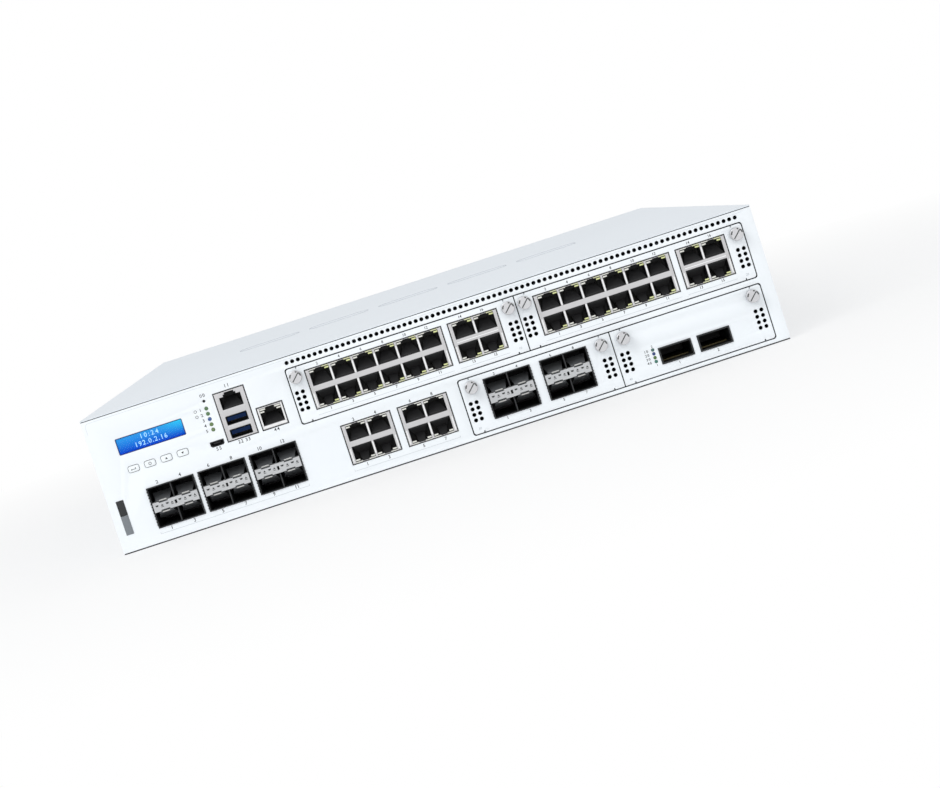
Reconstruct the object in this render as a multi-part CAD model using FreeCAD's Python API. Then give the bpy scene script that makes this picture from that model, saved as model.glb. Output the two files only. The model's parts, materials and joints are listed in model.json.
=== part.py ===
import FreeCAD, Part
import math
import os

os.makedirs("parts", exist_ok=True)

# A 2U rack firewall. X runs to the right seen from the front, the front faces -Y and Z is up.
# The origin is the middle of the flat underside. Lengths are in millimetres, angles in degrees.
# A "left" below is measured from the body's left side, a "bottom" or "rise" from the underside.

# Body and sheets
body_width = 438.0
body_depth = 600.0
body_height = 88.0
base_sheet = 1.2
base_bend = 1.6
corner_flats = 2
pin_sides = 6
lid_sheet = 0.8
lid_flange = 14.0
panel_sheet = 1.5
panel_foot = 0.5
panel_return = 9.0
seam = 0.2
slide_gap = 0.3
seat_gap = 0.1
window_gap = 0.2

# Front vents
vent_radius = 1.5
vent_sides = 4
vent_row_left = 133.4
vent_row_drop = 5.0
vent_row_right = 9.0
vent_row_pitch = 3.67

# Display, keys, lights and reset
display_left = 17.0
display_width = 43.5
display_drop = 17.3
display_height = 10.7
display_corner = 0.8
display_lip = 1.2
key_first_left = 22.7
key_pitch = 10.67
key_drop = 38.1
key_width = 6.8
key_height = 3.8
key_corner = 1.1
key_gap = 0.25
key_proud = 0.6
key_travel = 0.8
key_flange = 0.8
key_stem = 5.0
key_stem_radius = 1.2
light_left = 77.2
light_drop = 16.5
light_pitch = 3.45
light_count = 5
light_radius = 1.1
light_carrier = 1.6
reset_drop = 11.7
reset_radius = 0.75
reset_sunk = 1.0
reset_travel = 0.4
reset_flange_radius = 1.5
display_board_back = 9.0

# Ganged network jacks: two rows of sockets, notches facing away from each other
jack_width = 12.6
jack_pitch = 14.25
jack_height = 8.0
jack_notch_width = 6.6
jack_notch_height = 2.7
jack_row_gap = 3.9
jack_edge = 0.25
jack_margin = 2.75
jack_depth = 14.0
jack_body_depth = 26.0
jack_proud = 0.3
shield_sheet = 0.4

# Single sockets at the upper left
console_drop = 9.3
io_board_depth = 62.0
console_left = 83.5
console_width = 20.0
console_height = 31.5
console_socket_width = 13.6
console_socket_rise = 20.0
usb_width = 13.9
usb_height = 5.8
usb_rises = (1.3, 9.9)
usb_tongue_width = 11.0
usb_tongue_height = 1.9
usb_tongue_drop = 1.0
usb_depth = 12.0
management_left = 106.3
management_width = 17.0
management_height = 14.8
management_socket_rise = 3.0
micro_left = 72.6
micro_width = 8.6
micro_height = 3.2
micro_chamfer = 1.0
micro_depth = 6.0
micro_tongue_width = 4.4
micro_tongue_height = 0.6

# Fixed copper ports and fixed optical ports at the lower left
main_board_rise = 9.4
copper_left = 152.8
copper_pitch = 37.0
copper_count = 2
optical_left = 25.9
optical_pitch = 33.45
optical_count = 3

# Optical cage block: two by two cavities around a light bar
sfp_width = 14.2
sfp_height = 9.4
sfp_wall = 0.7
sfp_skin = 0.45
sfp_bar_height = 6.2
sfp_bar_depth = 8.0
sfp_depth = 46.0
sfp_body_depth = 50.0
sfp_proud = 0.5
sfp_slot_width = 1.4
sfp_slot_height = 2.4

# Wide optical cages of the last module
qsfp_first_left = 26.4
qsfp_right_room = 20.0
qsfp_pitch = 25.4
qsfp_width = 19.6
qsfp_height = 8.8
qsfp_wall = 0.8
qsfp_depth = 66.0
qsfp_body_depth = 70.0

# Module bays and port modules
upper_bay_left = 130.8
lower_bay_left = 230.7
bay_right_margin = 8.4
bay_top_margin = 8.7
bay_bottom_margin = 3.3
bay_strip = 4.0
bay_corner = 1.6
bezel_gap = 0.4
bezel_chamfer = 0.8
bezel_return = 7.0
module_depth = 176.0
port_lift = 1.1
board_sheet = 1.6
bay_sheet = 1.0
lip_reach = 1.5
lip_sheet = 1.0
jack_module_left = 11.4
jack_module_right_room = 12.0
jack_module_end_columns = 2
jack_module_block_gap = 4.0
optical_module_left = 15.5
optical_module_right_room = 15.0
optical_module_pitch = 37.0
module_vent_columns = 2
module_vent_rows = 4
module_vent_column_pitch = 3.8
module_vent_row_pitch = 3.6
module_vent_rise = 9.0
upper_vent_inset = 2.9
lower_vent_inset = 3.85
upper_screw_inset = 5.4
lower_screw_inset = 7.2
screw_drop = 6.1
screw_head_radius = 4.15
screw_head_length = 7.8
screw_head_sides = 12
screw_slot_width = 1.2
screw_slot_depth = 1.3
screw_shank_radius = 1.4
screw_shank_sides = 8
screw_shank_length = 7.0
screw_hole_gap = 0.35
screw_tab_drop = 12.0
upper_tab_width = 10.0
lower_tab_width = 12.0
tongue_width = 50.0
tongue_reach = 5.0

# Boards and what stands on them
board_side_gap = 3.0
main_board_back = 80.0
midplane_stand_off = 1.6
plug_height = 7.0
plug_wall = 2.0
standoff_flats = 6.0
cooler_width = 90.0
cooler_depth = 90.0
cooler_height = 58.0
cooler_base = 6.0
cooler_fin_count = 9
cooler_fin = 1.2
cooler_lefts = (60.0, 190.0)
cooler_front = -60.0
memory_left = 300.0
memory_pitch = 11.0
memory_count = 4
memory_length = 133.0
memory_height = 31.0
memory_sheet = 3.8
memory_front = -75.0

# Rear: two power supplies on the right seen from the front, then four fan modules
psu_width = 73.5
psu_top_room = 3.8
psu_depth = 185.0
psu_side_margin = 6.0
psu_bottom = 3.4
psu_shelf = 1.2
psu_wall = 1.0
psu_block = 26.0
psu_card_width = 40.0
psu_card_reach = 7.0
inlet_left = 5.0
inlet_width = 24.5
inlet_height = 17.5
inlet_chamfer = 4.5
inlet_depth = 17.0
inlet_blade = 2.0
inlet_blade_height = 4.0
inlet_blade_length = 14.0
inlet_blade_spacing = 7.0
psu_fan_left = 48.0
psu_duct_radius = 16.5
psu_duct_depth = 20.0
psu_handle_left = 33.0
handle_width = 5.0
handle_bar = 3.0
handle_reach = 21.0
handle_bend = 4.0
psu_handle_height = 30.0
latch_width = 3.0
latch_height = 14.0
latch_depth = 16.0
latch_reach = 12.0
latch_room = 3.0
latch_pin_radius = 1.2
fan_top_room = 3.0
fan_wall = 3.0
fan_depth = 38.0
fan_spacing = 2.0
fan_bottom = 4.0
fan_corner = 3.0
fan_psu_gap = 4.0
fan_handle_height = 44.0
fan_handle_inset = 2.0
fan_hub_radius = 16.0
fan_blades = 7
fan_blade_root = 18.0
fan_blade_tip = 25.0
psu_hub_radius = 7.5
psu_blades = 5
psu_blade_root = 8.0
psu_blade_tip = 11.0
blade_sheet = 1.6
blade_pitch = 42.0
blade_tip_gap = 1.2
rotor_shaft_gap = 0.1
shaft_sides = 8
duct_sides = 16
guard_wire = 1.6
runner_width = 6.0

# Power switch and earth point in the column beside the fans
switch_rise = 62.0
switch_width = 12.0
switch_height = 18.0
switch_rim = 1.5
switch_rim_sheet = 1.0
switch_wall = 1.5
switch_depth = 14.0
switch_swing = 14.0
switch_gap = 0.4
switch_pivot_sunk = 4.0
switch_pin_radius = 1.2
switch_pin_gap = 0.1
earth_rise = 26.0
earth_radius = 2.0
earth_hole_radius = 2.2
earth_insert_radius = 4.5
earth_insert_length = 5.0
rear_flange = 10.0
rear_flange_top = 60.0

# Screws and holes of the sides
ear_hole_radius = 2.0
ear_hole_setback = 20.0
ear_hole_spacing = 44.0
ear_hole_bottom = 22.0
cover_screw_setbacks = (150.0, 480.0)
cover_screw_drop = 8.0
cover_head_radius = 3.2
cover_shank_radius = 1.7
cover_shank_length = 4.0
cover_screw_gap = 0.1

# Planes and places worked out from the sizes above
left_side = -body_width / 2
right_side = body_width / 2
front_y = -body_depth / 2
rear_y = body_depth / 2
panel_back = front_y + panel_sheet
wall_top = body_height - lid_sheet - seam
rear_wall_front = rear_y - base_sheet
display_bottom = body_height - display_drop - display_height
key_rise = body_height - key_drop
light_top = body_height - light_drop
reset_rise = body_height - reset_drop
io_board_rise = body_height - console_drop - console_height
bay_height = (body_height - bay_top_margin - bay_bottom_margin - bay_strip) / 2
lower_bay_bottom = bay_bottom_margin
upper_bay_bottom = bay_bottom_margin + bay_height + bay_strip
bay_right = right_side - bay_right_margin
board_front = panel_back + seat_gap
module_end = panel_back + module_depth
midplane_front = module_end + midplane_stand_off
jack_total_height = jack_height + jack_notch_height
jack_block_height = 2 * (jack_edge + jack_total_height) + jack_row_gap
module_board_rise = bay_height / 2 + port_lift - jack_block_height / 2
sfp_block_width = 2 * sfp_width + 3 * sfp_wall
sfp_block_height = 2 * (sfp_skin + sfp_height) + sfp_bar_height
psu_left = right_side - psu_side_margin - psu_width
psu_front = rear_y - psu_depth
psu_height = (wall_top - psu_bottom - psu_top_room - psu_shelf - 2 * slide_gap) / 2
psu_bottoms = (psu_bottom, psu_bottom + psu_height + psu_shelf + 2 * slide_gap)
fan_size = wall_top - fan_bottom - fan_top_room
fan_duct_radius = fan_size / 2 - fan_wall
fans_right = psu_left - fan_psu_gap
fan_pitch = fan_size + fan_spacing
switch_column = switch_width + 2 * (switch_wall + switch_rim + slide_gap)
fan_count = int((fans_right - left_side - switch_column + fan_spacing) / fan_pitch)
fans_left = fans_right - fan_count * fan_pitch + fan_spacing
switch_x = (left_side + fans_left) / 2


def vector(x, y, z):
    return FreeCAD.Vector(x, y, z)


def across(y):
    """Places outline points (x, z) in the upright plane at y."""
    return lambda u, v: vector(u, y, v)


def along(x):
    """Places outline points (y, z) in the side plane at x."""
    return lambda u, v: vector(x, u, v)


def flat(z):
    """Places outline points (x, y) in the level plane at z."""
    return lambda u, v: vector(u, v, z)


def from_left(distance):
    return left_side + distance


def copies(room, width, pitch):
    """How many pieces of a width fit side by side in a room at a pitch."""
    return 1 + int((room - width) / pitch)


def rectangle(u0, u1, v0, v1, corner=0.0):
    return [(u0, v0, corner), (u1, v0, corner), (u1, v1, corner), (u0, v1, corner)]


def chamfered(u0, u1, v0, v1, cut):
    return [
        (u0 + cut, v0, 0), (u1 - cut, v0, 0), (u1, v0 + cut, 0), (u1, v1 - cut, 0),
        (u1 - cut, v1, 0), (u0 + cut, v1, 0), (u0, v1 - cut, 0), (u0, v0 + cut, 0),
    ]


def regular(u, v, radius, sides):
    """A regular polygon with a flat at its top and bottom, its corners on the radius."""
    turns = [2 * math.pi * (step + 0.5) / sides - math.pi / 2 for step in range(sides)]
    return [(u + radius * math.cos(t), v + radius * math.sin(t), 0) for t in turns]


def regular_around(u, v, radius, sides):
    """A regular polygon with its flats on the radius, as a hole that clears a shaft of that radius."""
    return regular(u, v, radius / math.cos(math.pi / sides), sides)


def outline(corners, place):
    """A closed wire through (u, v, radius) corners. A corner with a radius is rounded in a few flats."""
    points = []
    for index, (u, v, radius) in enumerate(corners):
        here = vector(u, v, 0)
        if radius == 0:
            points.append(here)
            continue
        before = vector(*corners[index - 1][:2], 0) - here
        after = vector(*corners[(index + 1) % len(corners)][:2], 0) - here
        before.normalize()
        after.normalize()
        half = before.getAngle(after) / 2
        middle = before + after
        middle.normalize()
        centre = here + middle * (radius / math.sin(half))
        start = here + before * (radius / math.tan(half)) - centre
        end = here + after * (radius / math.tan(half)) - centre
        sweep = math.atan2(start.x * end.y - start.y * end.x, start.dot(end))
        for step in range(corner_flats + 1):
            turn = sweep * step / corner_flats
            points.append(centre + vector(start.x * math.cos(turn) - start.y * math.sin(turn),
                                          start.x * math.sin(turn) + start.y * math.cos(turn), 0))
    spots = [place(point.x, point.y) for point in points]
    return Part.makePolygon(spots + [spots[0]])


def extruded(outer, holes, direction):
    if holes:
        face = Part.makeFace([outer] + list(holes), "Part::FaceMakerBullseye")
    else:
        face = Part.Face(outer)
    return face.extrude(direction)


def plate(corners, holes, y0, y1):
    """An upright plate between y0 and y1, with an outline and openings given as corner lists."""
    inner = [outline(hole, across(y0)) for hole in holes]
    return extruded(outline(corners, across(y0)), inner, vector(0, y1 - y0, 0))


def block(x0, x1, y0, y1, z0, z1):
    return Part.makeBox(x1 - x0, y1 - y0, z1 - z0, vector(x0, y0, z0))


def rod(x, z, radius, y0, y1):
    return Part.makeCylinder(radius, y1 - y0, vector(x, y0, z), vector(0, 1, 0))


def side_rod(x0, x1, y, z, radius):
    return Part.makeCylinder(radius, x1 - x0, vector(x0, y, z), vector(1, 0, 0))


def side_prism(way, y, z, radius, outer, length):
    """A faceted rod through a side, from a distance off the middle plane inwards. way picks the side."""
    return extruded(outline(regular(y, z, radius, shaft_sides), along(way * outer)), [],
                    vector(-way * length, 0, 0))


def faceted_rod(x, z, radius, sides, y0, y1):
    return plate(regular(x, z, radius, sides), [], y0, y1)


def joined(first, *others):
    return first.fuse(list(others)).removeSplitter()


def save(name, *solids):
    """Writes one named piece, or one group of like pieces, to its own file."""
    shape = solids[0] if len(solids) == 1 else Part.makeCompound(list(solids))
    if not shape.isValid():
        raise ValueError(name + " is not a valid solid")
    shape.exportStep("parts/" + name + ".step")


# ---------------------------------------------------------------- sockets and cages


def socket_window(middle, flat_side, width, way):
    """The mouth of a network socket with its latch notch. way is 1 with the notch above, -1 below."""
    half = width / 2
    notch = jack_notch_width / 2
    top = jack_total_height
    points = [(-half, 0), (half, 0), (half, jack_height), (notch, jack_height), (notch, top),
              (-notch, top), (-notch, jack_height), (-half, jack_height)]
    return [(middle + u, flat_side + way * v, 0) for u, v in points]


def shield(x0, x1, z0, z1, windows, depth):
    """A folded sheet shell, open at the back, with socket windows in its face."""
    front = front_y - jack_proud
    face = plate(rectangle(x0, x1, z0, z1), windows, front, front + shield_sheet)
    inside = rectangle(x0 + shield_sheet, x1 - shield_sheet, z0 + shield_sheet, z1 - shield_sheet)
    sleeve = plate(rectangle(x0, x1, z0, z1), [inside], front + shield_sheet, front + depth)
    return joined(face, sleeve)


def housing(x0, x1, z0, z1, cavities, depth):
    """The moulded block inside a shield. A cavity is (x0, x1, z0, z1, depth)."""
    front = front_y - jack_proud + shield_sheet
    body = block(x0 + shield_sheet, x1 - shield_sheet, front, front_y - jack_proud + depth,
                 z0 + shield_sheet, z1 - shield_sheet)
    pockets = [block(a, b, front, front_y + deep, c, d) for a, b, c, d, deep in cavities]
    return body.cut(pockets)


def jack_block_width(columns):
    return 2 * jack_margin + (columns - 1) * jack_pitch + jack_width


def jack_block(left, bottom, columns):
    """A ganged block of two rows of sockets: its shield and its housing."""
    right = left + jack_block_width(columns)
    top = bottom + jack_block_height
    middle = (bottom + top) / 2
    windows = []
    cavities = []
    for column in range(columns):
        centre = left + jack_margin + jack_width / 2 + column * jack_pitch
        for way in (-1, 1):
            flat_side = middle + way * jack_row_gap / 2
            windows.append(socket_window(centre, flat_side, jack_width, way))
            low, high = sorted((flat_side, flat_side + way * jack_total_height))
            cavities.append((centre - jack_width / 2, centre + jack_width / 2,
                             max(low, bottom + shield_sheet), min(high, top - shield_sheet), jack_depth))
    return (shield(left, right, bottom, top, windows, jack_body_depth),
            housing(left, right, bottom, top, cavities, jack_body_depth))


def sfp_block(left, bottom):
    """Two by two optical cavities in a sheet cage, and the light bar between the rows."""
    front = front_y - sfp_proud
    right = left + sfp_block_width
    top = bottom + sfp_block_height
    bar_bottom = bottom + sfp_skin + sfp_height
    bar_top = bar_bottom + sfp_bar_height
    middle = (left + right) / 2
    level = (bar_bottom + bar_top) / 2
    cage = block(left, right, front, front_y + sfp_body_depth, bottom, top)
    spaces = [block(left + sfp_wall, right - sfp_wall, front, front + sfp_bar_depth, bar_bottom, bar_top)]
    for column in (left + sfp_wall, right - sfp_wall - sfp_width):
        for low in (bottom + sfp_skin, bar_top):
            spaces.append(block(column, column + sfp_width, front, front_y + sfp_depth, low, low + sfp_height))
    slot = rectangle(middle - sfp_slot_width / 2, middle + sfp_slot_width / 2,
                     level - sfp_slot_height / 2, level + sfp_slot_height / 2)
    bar = plate(rectangle(left + sfp_wall, right - sfp_wall, bar_bottom, bar_top), [slot],
                front, front + sfp_bar_depth)
    return cage.cut(spaces), bar


def qsfp_cage(left, bottom):
    """One wide optical cage, open at the front."""
    right = left + qsfp_width + 2 * qsfp_wall
    top = bottom + qsfp_height + 2 * qsfp_wall
    front = front_y - sfp_proud
    cage = block(left, right, front, front_y + qsfp_body_depth, bottom, top)
    space = block(left + qsfp_wall, right - qsfp_wall, front, front_y + qsfp_depth,
                  bottom + qsfp_wall, top - qsfp_wall)
    return cage.cut(space)


def window_round(x0, x1, z0, z1):
    """The panel window around a block, with its small gap."""
    return rectangle(x0 - window_gap, x1 + window_gap, z0 - window_gap, z1 + window_gap)


# ---------------------------------------------------------------- places of the fixed ports


def copper_lefts():
    return [from_left(copper_left + copper_pitch * index) for index in range(copper_count)]


def optical_lefts():
    return [from_left(optical_left + optical_pitch * index) for index in range(optical_count)]


def key_middle(index):
    return from_left(key_first_left + key_pitch * index)


def light_rises():
    return [light_top - light_pitch * index for index in range(light_count)]


def micro_outline(grow):
    """The micro socket's mouth: its lower corners are cut off."""
    x0 = from_left(micro_left) - grow
    x1 = from_left(micro_left + micro_width) + grow
    z0 = io_board_rise - grow
    z1 = io_board_rise + micro_height + grow
    cut = micro_chamfer
    return [(x0 + cut, z0, 0), (x1 - cut, z0, 0), (x1, z0 + cut, 0), (x1, z1, 0), (x0, z1, 0), (x0, z0 + cut, 0)]


def console_block():
    """The tall shield with the console socket over two USB sockets."""
    x0 = from_left(console_left)
    x1 = x0 + console_width
    z0 = io_board_rise
    z1 = z0 + console_height
    middle = (x0 + x1) / 2
    socket = z0 + console_socket_rise
    windows = [socket_window(middle, socket, console_socket_width, 1)]
    cavities = [(middle - console_socket_width / 2, middle + console_socket_width / 2,
                 socket, socket + jack_total_height, jack_depth)]
    tongues = []
    for rise in usb_rises:
        low = z0 + rise
        high = low + usb_height
        windows.append(rectangle(middle - usb_width / 2, middle + usb_width / 2, low, high))
        cavities.append((middle - usb_width / 2, middle + usb_width / 2, low, high, usb_depth))
        tongue_top = high - usb_tongue_drop
        tongues.append(block(middle - usb_tongue_width / 2, middle + usb_tongue_width / 2,
                             front_y + seat_gap, front_y + usb_depth + seat_gap,
                             tongue_top - usb_tongue_height, tongue_top))
    body = housing(x0, x1, z0, z1, cavities, jack_body_depth)
    return shield(x0, x1, z0, z1, windows, jack_body_depth), joined(body, *tongues)


def management_block():
    """The single network socket beside the console block."""
    x0 = from_left(management_left)
    x1 = x0 + management_width
    z0 = io_board_rise
    z1 = z0 + management_height
    middle = (x0 + x1) / 2
    socket = z0 + management_socket_rise
    windows = [socket_window(middle, socket, console_socket_width, 1)]
    cavities = [(middle - console_socket_width / 2, middle + console_socket_width / 2,
                 socket, socket + jack_total_height, jack_depth)]
    return (shield(x0, x1, z0, z1, windows, jack_body_depth),
            housing(x0, x1, z0, z1, cavities, jack_body_depth))


def micro_socket():
    """The micro socket's drawn shell and the tongue in it."""
    front = front_y - seat_gap
    shell = plate(micro_outline(0), [micro_outline(-shield_sheet)], front, front_y + micro_depth)
    back = plate(micro_outline(-shield_sheet), [], front_y + micro_depth - shield_sheet, front_y + micro_depth)
    middle = from_left(micro_left + micro_width / 2)
    level = io_board_rise + micro_height / 2
    tongue = block(middle - micro_tongue_width / 2, middle + micro_tongue_width / 2,
                   front_y + shield_sheet, front_y + micro_depth - shield_sheet,
                   level, level + micro_tongue_height)
    return shell, joined(back, tongue)


# ---------------------------------------------------------------- module bays

module_rows = {
    "upper": (from_left(upper_bay_left), upper_bay_bottom, upper_vent_inset, upper_screw_inset, upper_tab_width),
    "lower": (from_left(lower_bay_left), lower_bay_bottom, lower_vent_inset, lower_screw_inset, lower_tab_width),
}


def module_span(row, index):
    """Left and right limits of a module: a row's bay is shared by two modules."""
    left = module_rows[row][0]
    width = (bay_right - left) / 2
    return left + width * index, left + width * (index + 1)


def screw_places(row, index):
    left, right = module_span(row, index)
    inset = module_rows[row][3]
    level = module_rows[row][1] + bay_height - screw_drop
    return [(left + inset, level), (right - inset, level)]


def module_vents(row, index):
    """Vent holes in two columns at each end of a bezel."""
    left, right = module_span(row, index)
    inset = module_rows[row][2]
    holes = []
    for column in range(module_vent_columns):
        away = inset + column * module_vent_column_pitch
        for step in range(module_vent_rows):
            rise = module_rows[row][1] + module_vent_rise + step * module_vent_row_pitch
            for x in (left + away, right - away):
                holes.append(regular(x, rise, vent_radius, vent_sides))
    return holes


def bezel(row, index, windows):
    """A module's face with its port windows, vents, screw holes and a folded lower edge."""
    left, right = module_span(row, index)
    x0 = left + (bezel_gap if index == 0 else bezel_gap / 2)
    x1 = right - (bezel_gap if index == 1 else bezel_gap / 2)
    z0 = module_rows[row][1] + bezel_gap
    z1 = module_rows[row][1] + bay_height - bezel_gap
    holes = list(windows) + module_vents(row, index)
    for x, z in screw_places(row, index):
        holes.append(regular(x, z, screw_shank_radius + screw_hole_gap, screw_shank_sides))
    face = plate(chamfered(x0, x1, z0, z1, bezel_chamfer), holes, front_y, panel_back)
    fold = block(x0 + lower_screw_inset, x1 - lower_screw_inset, panel_back, panel_back + bezel_return,
                 z0 + slide_gap, z0 + slide_gap + panel_sheet)
    return joined(face, fold)


def board_edges(row, index):
    left, right = module_span(row, index)
    inset = bay_sheet / 2 + slide_gap
    return left + inset, right - inset


def module_board(row, index):
    """The module's board, with a contact tongue at its back."""
    x0, x1 = board_edges(row, index)
    middle = (x0 + x1) / 2
    top = module_rows[row][1] + module_board_rise
    end = module_end + tongue_reach
    half = tongue_width / 2
    corners = [
        (x0, board_front, 0), (x1, board_front, 0), (x1, module_end, 0), (middle + half, module_end, 0),
        (middle + half, end, 0), (middle - half, end, 0), (middle - half, module_end, 0), (x0, module_end, 0),
    ]
    return extruded(outline(corners, flat(top - board_sheet)), [], vector(0, 0, board_sheet))


def thumbscrew(x, z):
    """A captive screw: faceted head with a slanting slot, and a shank through the bezel."""
    face = front_y - seat_gap - screw_head_length
    head = faceted_rod(x, z, screw_head_radius, screw_head_sides, face, front_y - seat_gap)
    shank = faceted_rod(x, z, screw_shank_radius, screw_shank_sides, front_y - seat_gap,
                        front_y + screw_shank_length)
    slot = block(-screw_head_radius, screw_head_radius, face, face + screw_slot_depth,
                 -screw_slot_width / 2, screw_slot_width / 2)
    slot.rotate(vector(0, 0, 0), vector(0, 1, 0), 45)
    slot.translate(vector(x, 0, z))
    return joined(head, shank).cut(slot)


def jack_module_blocks(index):
    """Left edges and column counts of the ganged blocks on an upper module."""
    start, end = module_span("upper", index)
    left = start + jack_module_left
    end_width = jack_block_width(jack_module_end_columns)
    room = end - jack_module_right_room - end_width - jack_module_block_gap - left
    columns = copies(room, jack_block_width(1), jack_pitch)
    end_left = left + jack_block_width(columns) + jack_module_block_gap
    return [(left, columns), (end_left, jack_module_end_columns)]


def optical_module_blocks():
    start, end = module_span("lower", 0)
    left = start + optical_module_left
    count = copies(end - optical_module_right_room - left, sfp_block_width, optical_module_pitch)
    return [left + optical_module_pitch * index for index in range(count)]


def qsfp_lefts():
    start, end = module_span("lower", 1)
    left = start + qsfp_first_left
    count = copies(end - qsfp_right_room - left, qsfp_width + 2 * qsfp_wall, qsfp_pitch)
    return [left + qsfp_pitch * index for index in range(count)]


def bay_cell(row, index):
    """A bay's two side walls, their board lips and the tapped screw tabs."""
    left, right = module_span(row, index)
    z0 = base_sheet if row == "lower" else upper_bay_bottom - bay_strip / 2
    z1 = module_rows[row][1] + bay_height + bay_strip / 2
    half = bay_sheet / 2
    back = midplane_front - slide_gap
    front = panel_back + seat_gap
    board_top = module_rows[row][1] + module_board_rise
    tab_width = module_rows[row][4]
    tab_bottom = module_rows[row][1] + bay_height - screw_drop - screw_tab_drop / 2
    pieces = []
    screws = screw_places(row, index)
    for wall, way, (screw_x, screw_z) in ((left, 1, screws[0]), (right, -1, screws[1])):
        pieces.append(block(wall - half, wall + half, front, back, z0, z1))
        x0, x1 = sorted((wall, wall + way * (half + lip_reach)))
        for low in (board_top - board_sheet - slide_gap - lip_sheet, board_top + slide_gap):
            pieces.append(block(x0, x1, front + panel_return, module_end, low, low + lip_sheet))
        x0, x1 = sorted((wall, wall + way * (half + tab_width)))
        hole = regular(screw_x, screw_z, screw_shank_radius + screw_hole_gap, screw_shank_sides)
        pieces.append(plate(rectangle(x0, x1, tab_bottom, z1), [hole], front, front + bay_sheet))
    return pieces


def bay_frame():
    """Four sheet cells that carry the modules, joined by a shelf between the rows and a roof."""
    left = from_left(upper_bay_left) - bay_sheet / 2
    right = bay_right + bay_sheet / 2
    shelf = upper_bay_bottom - bay_strip / 2
    roof = upper_bay_bottom + bay_height + bay_strip / 2
    back = midplane_front - slide_gap
    front = panel_back + seat_gap
    pieces = [block(left, right, front, back, level - bay_sheet / 2, level + bay_sheet / 2)
              for level in (shelf, roof)]
    for row in ("upper", "lower"):
        for index in (0, 1):
            pieces += bay_cell(row, index)
    return joined(pieces[0], *pieces[1:])


# ---------------------------------------------------------------- casing


def bay_window(left, bottom):
    return rectangle(left, bay_right, bottom, bottom + bay_height, bay_corner)


def front_panel():
    """The white face sheet with every window, and a folded upper and lower edge."""
    holes = [
        rectangle(from_left(display_left), from_left(display_left + display_width),
                  display_bottom, display_bottom + display_height, display_corner),
        bay_window(from_left(upper_bay_left), upper_bay_bottom),
        bay_window(from_left(lower_bay_left), lower_bay_bottom),
        window_round(from_left(console_left), from_left(console_left + console_width),
                     io_board_rise, io_board_rise + console_height),
        window_round(from_left(management_left), from_left(management_left + management_width),
                     io_board_rise, io_board_rise + management_height),
        micro_outline(window_gap),
        regular(from_left(light_left), reset_rise, reset_radius + window_gap, pin_sides),
    ]
    for index in range(4):
        middle = key_middle(index)
        half = key_width / 2 + key_gap
        rise = key_height / 2 + key_gap
        holes.append(rectangle(middle - half, middle + half, key_rise - rise, key_rise + rise,
                               key_corner + key_gap))
    for rise in light_rises():
        holes.append(regular(from_left(light_left), rise, light_radius + seat_gap, pin_sides))
    for left in copper_lefts():
        holes.append(window_round(left, left + jack_block_width(2),
                                  main_board_rise, main_board_rise + jack_block_height))
    for left in optical_lefts():
        holes.append(window_round(left, left + sfp_block_width,
                                  main_board_rise, main_board_rise + sfp_block_height))
    for index in range(copies(body_width - vent_row_left - vent_row_right, 0, vent_row_pitch)):
        x = from_left(vent_row_left + vent_row_pitch * index)
        holes.append(regular(x, body_height - vent_row_drop, vent_radius, vent_sides))
    face = plate(rectangle(left_side, right_side, panel_foot, wall_top), holes, front_y, panel_back)
    inner = base_sheet + slide_gap
    fold = block(left_side + inner, right_side - inner, panel_back, panel_back + panel_return,
                 wall_top - lid_sheet, wall_top)
    return joined(face, fold)


def ear_holes():
    """(y, z) of the round holes in each side that a rack ear is screwed to."""
    return [(front_y + ear_hole_setback, ear_hole_bottom + ear_hole_spacing * step) for step in (0, 1)]


def cover_screw_places():
    return [(front_y + setback, body_height - cover_screw_drop) for setback in cover_screw_setbacks]


def fan_middles():
    first = fans_right - fan_size / 2 - (fan_count - 1) * fan_pitch
    return [(first + fan_pitch * index, fan_bottom + fan_size / 2) for index in range(fan_count)]


def rear_wall():
    """The back sheet with its openings, a flange at each side, and the shelf under the upper supply."""
    holes = []
    for x, z in fan_middles():
        half = fan_size / 2 + slide_gap
        holes.append(rectangle(x - half, x + half, z - half, z + half, fan_corner))
    for bottom in psu_bottoms:
        holes.append(rectangle(psu_left - slide_gap, psu_left + psu_width + slide_gap,
                               bottom - slide_gap, bottom + psu_height + slide_gap))
    half = switch_width / 2 + switch_wall
    rise = switch_height / 2 + switch_wall
    holes.append(rectangle(switch_x - half, switch_x + half, switch_rise - rise, switch_rise + rise))
    x0 = left_side + base_sheet + seat_gap
    x1 = right_side - base_sheet - seat_gap
    z0 = base_bend
    sheet = plate(rectangle(x0, x1, z0, wall_top), holes, rear_wall_front, rear_y)
    flanges = [block(x, x + base_sheet, rear_wall_front - rear_flange, rear_wall_front, z0, rear_flange_top)
               for x in (x0, x1 - base_sheet)]
    return joined(sheet, *flanges, *supply_shelf()).cut(
        rod(switch_x, earth_rise, earth_hole_radius, rear_wall_front, rear_y))


def earth_insert():
    """The pressed-in nut of the earth point, behind the back sheet."""
    back = rear_wall_front
    nut = faceted_rod(switch_x, earth_rise, earth_insert_radius, shaft_sides, back - earth_insert_length, back)
    return nut.cut(rod(switch_x, earth_rise, earth_radius, back - earth_insert_length, back))


def supply_shelf():
    """The shelf between the power supplies, with the folded wall that carries its inner edge."""
    shelf = psu_bottoms[1] - slide_gap - psu_shelf
    wall = psu_left - fan_psu_gap / 2
    return [
        block(wall, right_side - base_sheet - seat_gap, psu_front, rear_wall_front, shelf, shelf + psu_shelf),
        block(wall - psu_shelf, wall, psu_front, rear_wall_front, base_sheet + seat_gap, shelf + psu_shelf),
    ]


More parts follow.
